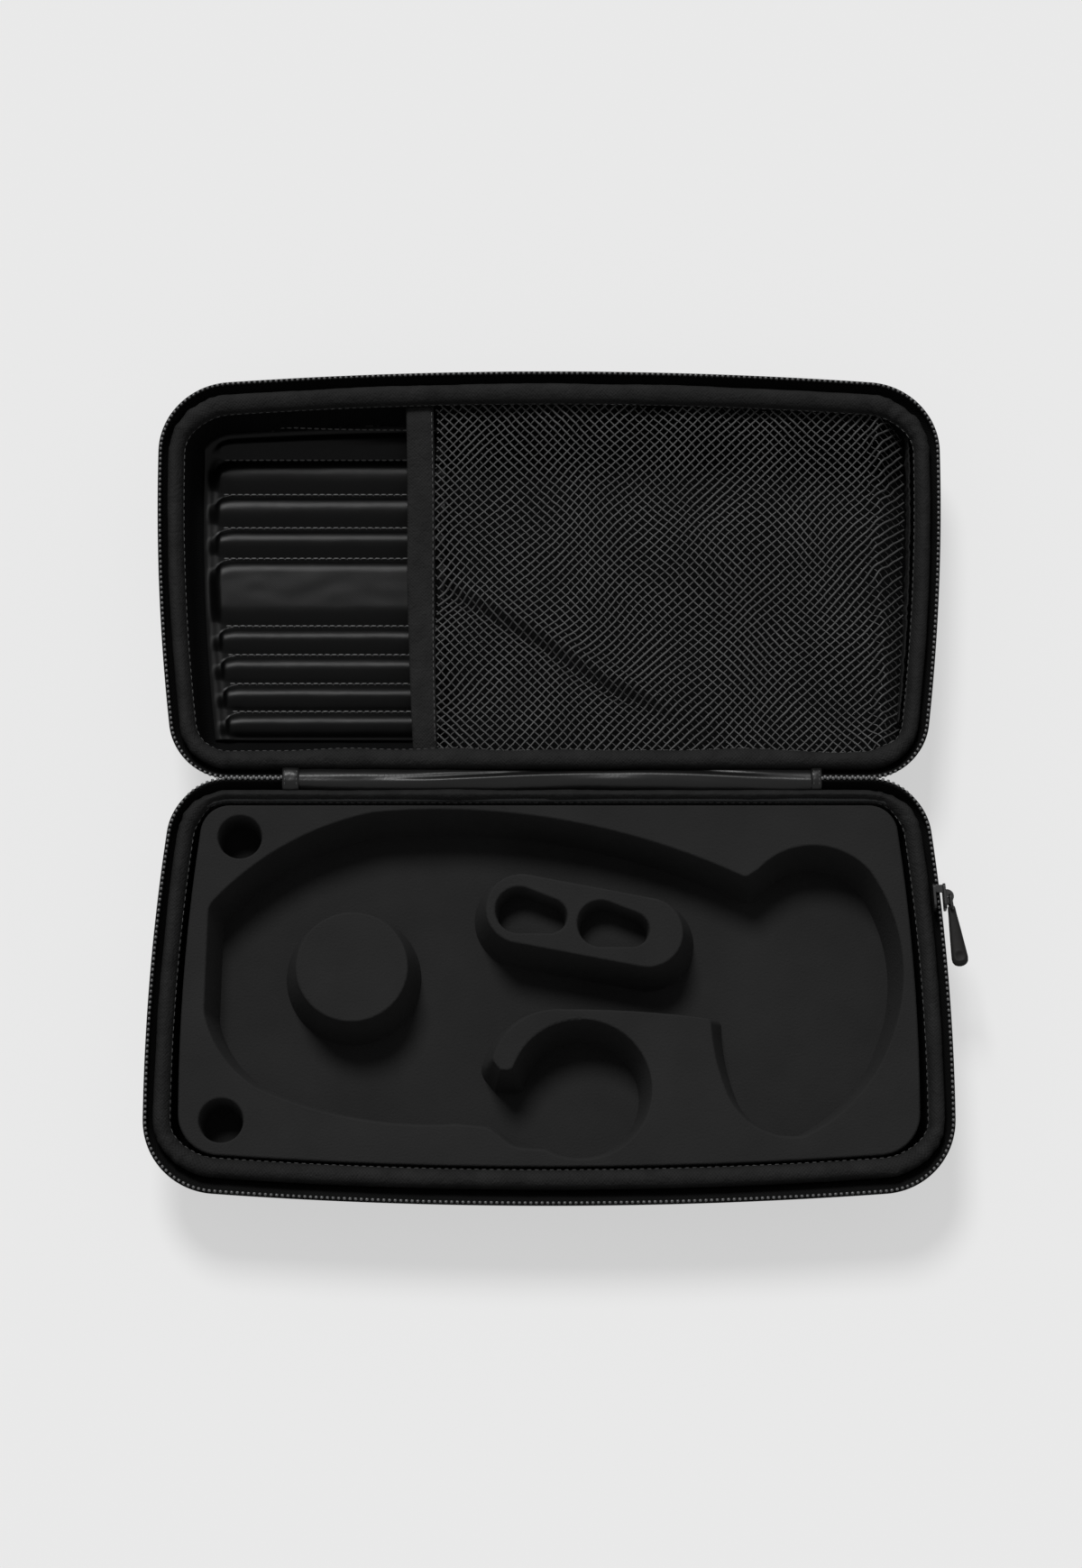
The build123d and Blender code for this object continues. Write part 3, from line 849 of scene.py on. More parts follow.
@dataclass
class TrayLining:
    """The knitted cloth that covers a tray's inside."""

    rim: RimLine
    face: float = 8.75  # inset at the rim, at the depth face_depth
    face_depth: float = 3.0
    draft: float = 4.0
    top: float = 4.6
    floor: float = 28.75
    round_edge: float = 7.6
    gathered_within: float = 60.0  # the floor's lines run to places no further out than this
    floor_lines: tuple[float, ...] = (0.15, 0.4, 0.7, 1.0)
    wave_lean: float = 0.7
    flat: tuple[float, float] = (0.32, 0.19)
    slack: Ripple = Ripple(0.12, 17.0, 17.0, 5.1)

    def profile(self) -> list[tuple[float, float]]:
        """The inset and depth of each line, from the binding down to the floor's edge.

        Returns:
            The lines in order.
        """
        lean = math.tan(math.radians(self.draft))
        turn_depth = self.floor - self.round_edge
        foot = self.face + (turn_depth - self.face_depth) * lean
        depths = np.linspace(self.top, turn_depth, 9)
        wall = [(self.face + (depth - self.face_depth) * lean, depth) for depth in depths]
        for turn in np.linspace(0, math.pi / 2, 9)[1:]:
            across, down = 1 - math.cos(turn), math.sin(turn)
            wall.append((foot + self.round_edge * across, turn_depth + self.round_edge * down))
        return wall

    def build(self) -> list[Piece]:
        """Lays the cloth over the walls and the floor in one piece.

        Returns:
            The cloth.
        """
        rim = self.rim
        rows = [rim.places(inset, depth) for inset, depth in self.profile()]
        edge = rows[-1]
        middle = edge.copy()
        middle[:, 0] = np.clip(edge[:, 0], -self.gathered_within, self.gathered_within)
        middle[:, 1] = HINGE_Y + rim.half.value * rim.half_depth / 2
        rows += [edge * (1 - share) + middle * share for share in self.floor_lines]
        grid = np.stack(rows, axis=1)
        x, y, lean = grid[:, :, 0], grid[:, :, 1], grid[:, :, 2] * self.wave_lean
        waves = self.slack.at(x + lean, y + lean, rim.half.value)
        grid[:, 1:, 2] += np.abs(waves[:, 1:])
        piece = grid_piece(f"{rim.word}_cloth_lining", grid, ring=True)
        settle(piece, LINING_CLOTH, rim.word, f"{rim.word}_lining")
        return [piece]


@dataclass
class RimBinding:
    """The padded cloth roll that is sewn over a tray's edge."""

    rim: RimLine
    front_swell: float  # how much further in the roll reaches in front
    hinge_swell: float  # and along the hinge
    hinge_sink: float  # how much deeper it lies there
    hinge_waves: float
    waves: Ripple = Ripple(1.0, 26.0, 26.0, 2.7)
    pucker: Ripple = Ripple(0.3, 3.0, 6.0, 3.7)
    pucker_share: tuple[float, float] = (0.25, 1.15)  # everywhere, and more in the corners
    slack: Ripple = Ripple(0.2, 21.0, 14.0, 11.3)
    crown: tuple[float, float] = (6.4, 3.2)  # inset and depth that the cloth swells from
    swelling: tuple[float, float] = (4.6, 9.0)  # insets between which the roll grows
    hidden_below: float = 5.2
    loose: tuple[float, float] = (-0.55, 0.2)  # from the cloth's side up to where it can pucker
    crown_depth: float = 0.8
    push_limit: tuple[float, float] = (0.2, 0.5)  # on the crown, and more beside it
    seam_at: tuple[float, float] = (9.5, 3.75)
    stitch_pitch: float = 2.6
    stitch: tuple[float, float] = (1.5, 0.14)
    fill: float = 0.9
    profile: tuple[tuple[float, float], ...] = (
        (3.9, 6.1), (3.7, 4.6), (3.7, 3.2), (4.0, 1.95), (4.65, 1.0), (5.6, 0.45), (6.6, 0.4),
        (7.6, 0.8), (8.5, 1.65), (9.05, 2.75), (9.0, 3.5), (9.4, 3.85), (9.4, 4.6), (8.9, 4.9),
        (8.2, 4.6), (8.0, 3.2), (6.2, 2.8), (4.4, 3.2), (4.3, 4.6), (4.25, 6.0),
    )

    def spread(self) -> tuple[Array, Array]:
        """How much wider and how much deeper than its profile the roll is round the rim.

        Returns:
            The two distances at each place of the rim's line.
        """
        rim = self.rim
        bumps = self.hinge_waves * self.waves.at(rim.line[:, 0], rim.line[:, 0] * 0)
        grow = self.front_swell * rim.front + (self.hinge_swell + bumps) * rim.hinge
        return grow, self.hinge_sink * rim.hinge

    def build(self) -> list[Piece]:
        """Sweeps the roll round the rim, puckers it in the corners and sews its inner edge.

        Returns:
            The roll and its stitches.
        """
        rim, half = self.rim, self.rim.half.value
        outline = spline_through(self.profile, 3, True)
        insets, depths = outline.T
        seen = smooth(insets, *self.swelling) * (depths < self.hidden_below)
        grow, sink = self.spread()
        rows = [rim.places(i + grow * s, d + sink) for i, d, s in zip(insets, depths, seen)]
        grid = np.stack(rows, axis=1)
        out = unit(outline - self.crown)
        top = smooth(-out[:, 1], *self.loose)
        plain_share, corner_share = self.pucker_share
        folds = self.pucker.at(rim.along[:, None], insets, half)
        push = folds * (plain_share + corner_share * rim.corner[:, None])
        push = push + self.slack.at(rim.along[:, None], insets, half)
        limit, beside = self.push_limit
        push = np.minimum(push * top, limit + beside * (depths > self.crown_depth))
        inward = np.pad(rim.inward * (1, half), ((0, 0), (0, 1)))
        grid += push[:, :, None] * (out[:, :1] * inward[:, None, :] - out[:, 1:] * UP)
        roll = grid_piece(f"{rim.word}_padded_binding", grid, ring=True, tube=True)
        settle(roll, BINDING_CLOTH, rim.word, f"{rim.word}_binding")

        path = rim.places(self.seam_at[0] + grow, self.seam_at[1] + sink)
        seam = sewn_row(f"{rim.word}_binding_seam", path, self.stitch_pitch, self.stitch)
        return [roll, settle(seam, SEWING_THREAD, rim.word)]


@dataclass
class ZipRow:
    """One tray's half of the zip: the sewn tape and its row of teeth."""

    rim: RimLine
    start: float = 94.6  # from the middle of the hinge to the first teeth
    pitch: float = 1.95
    tooth: tuple[float, float, float] = (1.1, 0.9, 1.35)
    tooth_edge: float = 0.3
    tooth_inset: float = 0.98
    tooth_depth: float = 1.76
    hinge_side: tuple[float, float] = (0.5, 0.98)
    straight_side: tuple[float, float] = (0.9, 0.99)
    look: float = 0.6  # how far ahead a tooth's direction is read
    mesh_shift: float = 0.95  # how far the rows lean together beside the hinge
    hinge_stretch: float = 0.45  # how much longer the teeth look there
    cord: float = 0.71
    cord_place: tuple[float, float] = (0.78, 2.45)
    cord_lean: float = 0.25
    cord_start: float = 90.5
    tape_start: float = 76.0  # it runs on under the spine
    tape_thick: float = 0.5
    tape_width: float = 11.0
    slope: tuple[tuple[float, float, float], ...] = (  # inset, depth, share of the front's inset
        (0.6, 3.2, 0.0), (0.9, 3.9, 0.0), (1.6, 4.9, 0.3), (2.7, 6.5, 0.75), (3.8, 8.2, 1.0),
        (4.35, 9.3, 1.0), (4.9, 10.2, 1.0),
    )

    def build(self) -> list[Piece]:
        """Makes the tape, then its edge, then the teeth."""
        return [self.lay_tape(), self.round_edge(), self.set_teeth()]

    def reaches(self, start: float) -> Array:
        """Which places of the rim's line lie further than this from the hinge's middle."""
        return (self.rim.along > start) & (self.rim.along < self.rim.length - start)

    def lay_tape(self) -> Piece:
        """Lays the woven tape from the teeth down to the tray's outside.

        Returns:
            The tape.
        """
        rim = self.rim
        kept = self.reaches(self.tape_start)
        slope = np.array(self.slope)
        line = spline_through(slope[:, :2], 3, False)
        pulls = rim.front_extra * np.interp(line[:, 1], slope[:, 1], slope[:, 2])
        rows = [rim.places(*place, pull)[kept] for place, pull in zip(line, pulls)]
        piece = grid_piece(f"{rim.word}_woven_tape", np.stack(rows, axis=1))
        thicken(piece, self.tape_thick, 0.0)
        settle(piece, ZIP_TAPE, rim.word, f"{rim.word}_zip_tape")
        return piece

    def round_edge(self) -> Piece:
        """Rounds the tape's folded edge, which the teeth are sewn on.

        Returns:
            The edge.
        """
        rim = self.rim
        kept = self.reaches(self.cord_start)
        inset, depth = self.cord_place
        lean = self.cord_lean * smooth(rim.inward[:, 1], *self.hinge_side)
        rings = []
        for turn in np.linspace(0, FULL_TURN, 10, endpoint=False):
            across, lift = self.cord * math.cos(turn), self.cord * math.sin(turn)
            rings.append(rim.places(inset - across - lean, depth - lift, 0.0)[kept])
        piece = grid_piece(f"{rim.word}_tape_edge", np.stack(rings, axis=1), tube=True)
        return settle(piece, ZIP_TAPE, rim.word)

    def set_teeth(self) -> Piece:
        """Sets the teeth side by side along the tape's edge.

        Returns:
            The teeth.
        """
        rim = self.rim
        half_step = self.pitch / 2 if rim.half is Half.LID else 0.0
        marks = np.arange(self.start + half_step, rim.length - self.start, self.pitch)
        lean = self.mesh_shift * smooth(rim.inward[:, 1], *self.hinge_side)
        line = rim.places(self.tooth_inset - lean, self.tooth_depth, 0.0)
        closed, travel = np.vstack((line, line[:1])), np.append(rim.along, rim.length)
        origins = along_line(closed, travel, marks)
        forward = unit(along_line(closed, travel, marks + self.look) - origins)
        straight = smooth(rim.inward[:, 1], *self.straight_side)
        hinge = np.interp(marks, rim.along, straight)
        across = np.cross(UP, forward) * (1 + self.hinge_stretch * hinge[:, None])
        axes = (forward, across, np.tile(UP, (len(marks), 1)))
        stamp = rounded_block(self.tooth, self.tooth_edge)
        piece = tiled_piece(f"{rim.word}_zip_row", stamp, origins, axes)
        return settle(piece, ZIP_TEETH, rim.word, f"{rim.word}_zip_chain")


# ---- Foam --------------------------------------------------------------------------------


@dataclass
class CutFoam:
    """The foam insert's four pieces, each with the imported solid's exact form."""

    frame: dict
    nodes: tuple[str, ...] = ("insert_floor", "insert_block", "round_island", "pill_island")
    sharp_above: float = 38.0
    weld: float = 0.002

    def build(self) -> list[Piece]:
        """Makes each foam piece from its solid's form.

        Returns:
            The pieces.
        """
        made = []
        for node in self.nodes:
            work = bmesh.new()
            work.from_mesh(self.frame["nodes"][node].data)
            bmesh.ops.remove_doubles(work, verts=work.verts, dist=self.weld * METRE)
            places, faces = taken_from(work)
            piece = new_object(f"{node}_foam", places / METRE, faces, self.sharp_above)
            piece.modifiers.new("even_shading", "WEIGHTED_NORMAL").keep_sharp = True
            made.append(settle(piece, INSERT_FOAM, "base", node))
        return made


# ---- Lid pad -----------------------------------------------------------------------------


@dataclass
class RibbedPad:
    """The lid's pad: soft ribs that run along the case, stitched down between each other."""

    rim: RimLine
    creases: tuple[float, ...] = (
        21.7, 31.9, 42.4, 53.3, 64.2, 89.9, 101.6, 114.4, 127.7, 138.8, 141.8,
    )
    crease_floor: float = 0.35
    right: float = -38.0
    tip_inset: float = 19.6  # the ribs' left tips, in from the zip's line
    tip_length: float = 7.0
    tip_corner: float = 3.4
    near_corner_share: float = 0.3
    tip_ends: tuple[float, float] = (-1.5, 4.0)  # past the tips, where the lift there ends
    ramp_end: float = 2.0
    skirt: float = 4.6
    floor_depth: float = 28.55
    flat_from: float = 17.6  # inset at which the tray's floor is flat
    foot_radius: float = 7.6
    foot_share: float = 0.93  # of the foot's radius that the pad climbs
    edge_inset: float = 10.8
    edge_width: float = 4.5
    edge_thick: float = 0.2
    backing: float = 0.8
    crown: float = 2.1
    far_flank: float = 6.1  # how far a rib takes to rise to its crown
    near_flank: float = 7.6
    roundness: float = 2.6
    tip_lift: float = 0.4  # share of the crown that the creases keep at the ribs' tips
    ripples: Ripple = Ripple(0.04, 12.0, 5.0, 8.8)
    fine_ripples: Ripple = Ripple(0.015, 3.6, 5.6, 2.2)
    rippled: tuple[float, float] = (0.8, 2.4)  # heights between which the ripples grow
    margins: tuple[float, float] = (0.6, 0.4)  # before the first crease and past the last
    spacing: float = 0.5
    columns: int = 150
    turn_under: float = 0.4
    sunk: float = 0.05
    fill: float = 0.7
    stitch_pitch: float = 2.5
    stitch: tuple[float, float] = (1.75, 0.3)
    stitch_rise: float = 0.12
    stitch_start: float = 1.0  # past the rib's tip
    path_step: float = 0.8

    def ground(self, x: Array, reach: Array) -> Array:
        """The depth of what the pad lies on: the floor, then the wall's round foot.

        Args:
            x: where the places lie along the hinge.
            reach: how far they lie from the hinge.

        Returns:
            The depth at each place.
        """
        climb = self.foot_radius * self.foot_share
        past = np.clip(self.flat_from - self.rim.inset_at(x, reach), 0, climb)
        return self.floor_depth - self.foot_radius + np.sqrt(self.foot_radius**2 - past**2)

    def tip(self, reach: Array) -> Array:
        """Where the ribs' left tips lie."""
        return -(self.rim.side_x(reach) - self.tip_inset)

    def height(self, x: Array, reach: Array) -> Array:
        """How far the pad stands off its ground.

        Args:
            x: where the places lie along the hinge.
            reach: how far they lie from the hinge.

        Returns:
            The height at each place.
        """
        edges = np.asarray(self.creases)
        index = np.clip(np.searchsorted(edges, reach) - 1, 0, len(edges) - 2)
        past = x - self.tip(reach)
        cut = np.clip(1 - past / self.tip_length, 0, 1)
        corner = self.tip_corner * (1 - np.sqrt(1 - cut**2))
        low = edges[index] + self.crease_floor + self.near_corner_share * corner
        high = edges[index + 1] - self.crease_floor - corner
        far = 1 - np.clip((high - reach) / self.far_flank, 0, 1)
        near = 1 - np.clip((reach - low) / self.near_flank, 0, 1)
        lobe = (1 - far**self.roundness) * (1 - near**self.roundness)
        lift = self.tip_lift * self.crown * (1 - smooth(past, *self.tip_ends)) * (1 - lobe)
        inset = self.rim.inset_at(x, reach)
        border = smooth(inset, self.edge_inset, self.edge_inset + self.edge_width)
        ramp = smooth(past, -self.skirt, self.ramp_end) * border
        cloth = self.edge_thick + (self.backing - self.edge_thick) * border
        return cloth + (lift + self.crown * lobe) * ramp

    def surface(self, x: Array, reach: Array, rise: Array) -> Array:
        """The places in the row frame that stand a rise off the pad's ground."""
        return self.rim.row(x, reach, self.ground(x, reach) - rise)

    def kept_in(self, x: Array, reach: Array) -> tuple[Array, Array]:
        """Draws places that lie past the pad's rounded outline back onto it.

        Args:
            x: where the places lie along the hinge.
            reach: how far they lie from the hinge.

        Returns:
            The places' new x and distance from the hinge.
        """
        probe, least = 0.5, 0.25
        for _ in range(3):
            inset = self.rim.inset_at(x, reach)
            slope_x = (self.rim.inset_at(x + probe, reach) - inset) / probe
            slope_y = (self.rim.inset_at(x, reach + probe) - inset) / probe
            short = np.clip(self.edge_inset - inset, 0, None)
            norm = np.maximum(slope_x**2 + slope_y**2, least)
            x, reach = x + short * slope_x / norm, reach + short * slope_y / norm
        return x, reach

    def build(self) -> list[Piece]:
        """Shapes the pad and sews a stitch row down every crease.

        Returns:
            The pad and its stitches.
        """
        before, after = self.margins
        rows = np.arange(self.creases[0] - before, self.creases[-1] + after, self.spacing)
        left = self.tip(rows)[:, None] - self.skirt
        x = left + (self.right - left) * np.linspace(0, 1, self.columns)
        x, reach = self.kept_in(x, np.broadcast_to(rows[:, None], x.shape))
        rise = self.height(x, reach)
        hills = self.ripples.at(x, reach) + self.fine_ripples.at(x, reach)
        grid = self.surface(x, reach, rise + hills * smooth(rise, *self.rippled))
        near, far = grid[0].copy(), grid[-1].copy()
        near[:, 1] -= self.turn_under
        for edge, place in ((near, 0), (far, -1)):
            edge[:, 2] = RIM_Z - self.ground(x[place], reach[place]) - self.sunk
        grid = np.concatenate((near[None], grid, far[None]))
        pad = grid_piece("lid_rib_pad", grid, smooth_angle=75)
        settle(pad, PAD_CLOTH, "lid", "lid_ribbed_pad")

        sewn = []
        for crease in self.creases[1:-1]:
            start = float(self.tip(np.array(crease))) + self.stitch_start
            x = np.arange(start, self.right, self.path_step)
            reach = np.full(len(x), crease)
            path = self.surface(x, reach, self.height(x, reach) + self.stitch_rise)
            sewn.append(sewn_row("pad_stitches", path, self.stitch_pitch, self.stitch))
        stitches = settle(join_pieces(sewn), PAD_THREAD, "lid")
        return [pad, stitches]


# ---- Net pocket --------------------------------------------------------------------------


@dataclass
class NetHem:
    """The cloth strip along the net's open side, with a stitch row near its right edge."""

    rim: RimLine
    near: float = 10.6
    far: float = 142.6
    left: tuple[float, float, float] = (-48.3, -51.0, -51.9)
    right: tuple[float, float, float] = (-39.8, -41.0, -42.0)
    sway: float = 0.25
    thick: float = 1.5
    depth: float = 5.6
    end_dip: float = 1.0
    end_reach: float = 9.0
    middle_dip: float = 1.5
    middle_reach: float = 60.0
    squareness: tuple[float, float] = (0.45, 0.8)  # of its section, across and down
    bulge: Ripple = Ripple(0.12, 6.0, 12.0, 1.9)
    seam_share: float = 0.93
    seam_sunk: float = 0.1
    stitch_pitch: float = 2.5
    stitch: tuple[float, float] = (1.6, 0.16)

    def edge(self, corners: tuple[float, float, float], reach: Array) -> Array:
        """Where an edge of the hem runs, through its near end, middle and far end."""
        share = (reach - self.near) / (self.far - self.near)
        return np.interp(share, (0, 0.5, 1), corners) - self.sway * np.sin(share * FULL_TURN)

    def build(self) -> list[Piece]:
        """Shapes the hem as a flat folded tube that dips under the binding at its ends.

        Returns:
            The hem and its stitches.
        """
        reach = np.linspace(self.near, self.far, 120)
        left, right = self.edge(self.left, reach), self.edge(self.right, reach)
        ends = np.minimum(reach - self.near, self.far - reach)
        dip = self.end_dip * (1 - smooth(ends, 0, self.end_reach))
        dip += self.middle_dip * smooth(ends, 0, self.middle_reach)
        columns = []
        for turn in np.linspace(0, FULL_TURN, 20, endpoint=False):
            across, lift = (
                math.copysign(abs(part) ** power, part)
                for part, power in zip((math.cos(turn), math.sin(turn)), self.squareness)
            )
            x = (left + right) / 2 + across * (right - left) / 2
            bulge = self.bulge.at(x, reach) * (lift > 0)
            depth = self.depth + dip - lift * self.thick / 2 - bulge
            columns.append(self.rim.row(x, reach, depth))
        hem = grid_piece("lid_net_hem_strip", np.stack(columns, axis=1), tube=True)
        settle(hem, BINDING_CLOTH, "lid", "net_hem")
        x = left + (right - left) * self.seam_share
        path = self.rim.row(x, reach, self.depth + dip - self.thick / 2 + self.seam_sunk)
        seam = sewn_row("lid_net_hem_seam", path[2:-2], self.stitch_pitch, self.stitch)
        return [hem, settle(seam, SEWING_THREAD, "lid")]


@dataclass
class NetGather:
    """The tape that holds the net's gathered right end to the lid's wall."""

    rim: RimLine
    near: float = 22.0
    far: float = 132.0
    inset: float = 10.4
    draft: float = 0.8
    top: float = 7.6
    tall: float = 6.2
    thick: float = 0.5
    ruffle: Ripple = Ripple(0.55, 3.3, 2.2, 5.9)

    def build(self) -> Piece:
        """Shapes the tape as a ruffled band.

        Returns:
            The tape.
        """
        reach = np.linspace(self.near, self.far, 150)
        columns = []
        for part in np.linspace(0, 1, 7):
            x = self.rim.side_x(reach) - self.inset - part * self.draft
            x = x - np.abs(self.ruffle.at(reach, part))
            columns.append(self.rim.row(x, reach, self.top + part * self.tall))
        piece = grid_piece("lid_net_gather", np.stack(columns, axis=1))
        return settle(thicken(piece, self.thick), BINDING_CLOTH, "lid", "net_anchor")


@dataclass
class NetPocket:
    """The knitted net over the lid's right part, its hem and its gathered end."""

    rim: RimLine
    flat: tuple[float, float] = (0.170, 0.132)
    left: float = -41.4
    right: float = 128.0
    near: float = 12.0
    far: float = 139.0
    edge_inset: float = 9.4
    centre: tuple[float, float] = (43.0, 76.0)
    spread: float = 112.0  # how far from the centre the outermost threads lie
    run: float = 125.0  # and how far they run
    station: float = 1.25
    pitch: float = 2.45
    thread: float = 0.3
    swell: float = 0.5  # how much stouter a thread is where it shows
    show: Ripple = Ripple(1.0, 19.0, 19.0, 2.5)
    show_rise: float = 0.3
    slant: float = 0.3  # how much more one family of threads shows from near left to far right
    slant_lean: float = 0.5
    slant_ends: tuple[float, float] = (-80.0, 30.0)
    crossing: float = 0.18
    flatness: float = 0.8
    depth: float = 7.0
    shallowest: float = 4.6
    sag: float = 1.6
    sag_share: tuple[float, float] = (0.35, 0.65)  # everywhere, and more half way along
    fold: tuple[tuple[float, float], tuple[float, float]] = ((-35.0, 70.0), (38.0, 25.0))
    fold_depth: float = 3.0
    fold_start: tuple[float, float] = (-14.0, 12.0)
    fold_fade: float = 16.0
    fold_width: float = 2.4
    fold_crest: tuple[float, float, float] = (0.7, 5.0, 2.8)  # share, distance aside, width
    billow: Ripple = Ripple(0.55, 13.0, 29.9, 4.4)
    bunch_at: float = 118.5
    bunch_rise: float = 2.3
    bunch_width: float = 2.3
    rough: Ripple = Ripple(0.9, 3.6, 3.6, 9.1)
    dive: float = 8.5
    dive_ends: tuple[float, float] = (1.5, 3.0)  # past the bunch, and past the right end
    slow_drift: tuple[Ripple, Ripple] = (Ripple(1.1, 26, 26, 1.3), Ripple(1.1, 24, 24, 6.6))
    quick_drift: tuple[Ripple, Ripple] = (Ripple(1, 4.5, 4.5, 7.7), Ripple(1, 4.5, 4.5, 3.1))
    quick_share: tuple[float, float] = (0.12, 0.5)  # everywhere, and more beside the bunch
    bunch_reach: float = 4.5

    def level(self, places: Array) -> Array:
        """The net's depth at each x and distance from the hinge.

        Args:
            places: each place's x and distance from the hinge.

        Returns:
            The depth at each place.
        """
        x, reach = places.T
        u = np.clip((x - self.left) / (self.bunch_at - self.left), 0, 1)
        v = np.clip((reach - self.near) / (self.far - self.near), 0, 1)
        everywhere, half_way = self.sag_share
        depth = self.depth + self.sag * np.sin(np.pi * v) * (
            everywhere + half_way * np.sin(np.pi * u)
        )
        start, end = (np.array(place) for place in self.fold)
        length = np.linalg.norm(end - start)
        run = (end - start) / length
        along = (places - start) @ run
        aside = (places - start) @ np.array((-run[1], run[0]))
        fade = 1 - smooth(along, length - self.fold_fade, length + self.fold_fade)
        ends = smooth(along, *self.fold_start) * fade
        share, crest, width = self.fold_crest
        groove = hill(aside, 0, self.fold_width) - share * hill(aside, crest, width)
        depth += self.fold_depth * ends * groove + self.billow.at(x, reach)
        bunch = self.bunch_rise + self.rough.at(x, reach)
        depth -= hill(x, self.bunch_at, self.bunch_width) * bunch
        past_bunch, past_right = self.dive_ends
        depth += self.dive * smooth(x, self.bunch_at + past_bunch, self.right + past_right)
        return np.maximum(depth, self.shallowest)

    def drift(self, places: Array) -> Array:
        """How far the knit is pulled out of square at each place.

        Args:
            places: each place's x and distance from the hinge.

        Returns:
            The shift at each place.
        """
        slow, quick = (
            np.stack([ripple.at(*places.T) for ripple in ripples], axis=1)
            for ripples in (self.slow_drift, self.quick_drift)
        )
        everywhere, bunched = self.quick_share
        near = hill(places[:, 0], self.bunch_at, self.bunch_reach)[:, None]
        return slow + quick * (everywhere + bunched * near)

    def strand(self, path: Array, depth: Array, girth: Array) -> Form:
        """A four-sided thread along a path.

        Args:
            path: x and distance from the hinge, one row each.
            depth: the thread's depth under the closing plane.
            girth: its radius at each place.

        Returns:
            Places and faces.
        """
        centre = self.rim.row(path[:, 0], path[:, 1], depth)
        forward = unit(np.gradient(centre, axis=0))
        side = unit(np.cross(forward, UP))
        up = np.cross(side, forward)
        corners = ((1, 0), (0, self.flatness), (-1, 0), (0, -self.flatness))
        rings = [centre + girth[:, None] * (a * side + b * up) for a, b in corners]
        return np.stack(rings, axis=1).reshape(-1, 3), tube_faces(len(path), len(corners))

    def knit(self) -> Piece:
        """Knits the net from two families of threads that cross.

        Returns:
            The net.
        """
        places, faces, count = [], [], 0
        marks = np.arange(-self.run, self.run, self.station)
        for sign in (-1, 1):
            run = np.array((math.sqrt(0.5), sign * math.sqrt(0.5)))
            aside = np.array((-run[1], run[0]))
            for offset in np.arange(-self.spread, self.spread, self.pitch):
                path = self.centre + aside * offset + run * marks[:, None]
                inside = self.rim.holds(path, self.edge_inset)
                inside &= (path[:, 0] > self.left) & (path[:, 0] < self.right)
                cuts = np.flatnonzero(np.diff(inside)) + 1
                for stretch in np.split(np.arange(len(path)), cuts):
                    if len(stretch) < 3 or not inside[stretch[0]]:
                        continue
                    line = path[stretch]
                    across = line[:, 0] - line[:, 1] * self.slant_lean
                    slant = self.slant * smooth(across, *self.slant_ends)
                    show = sign * (self.show.at(*line.T) + slant)
                    girth = self.thread * (1 + self.swell * np.clip(show, -1, 1))
                    over = sign * np.cos(marks[stretch] * math.pi / self.pitch)
                    depth = self.level(line) + self.crossing * over - self.show_rise * show
                    made, rings = self.strand(line + self.drift(line), depth, girth)
                    places.append(made)
                    faces.extend([[index + count for index in face] for face in rings])
                    count += len(made)
        net = new_object("lid_knitted_net", np.vstack(places), faces, 180)
        return settle(net, NET_CORD, "lid", "pocket_net")

    def build(self) -> list[Piece]:
        """Makes the hem, the gathered end and the net between them.

        Returns:
            The hem, its stitches, the gathered end and the net.
        """
        hem, seam = NetHem(self.rim).build()
        gather = NetGather(self.rim).build()
        net = self.knit()
        return [hem, seam, gather, net]


# ---- Spine -------------------------------------------------------------------------------


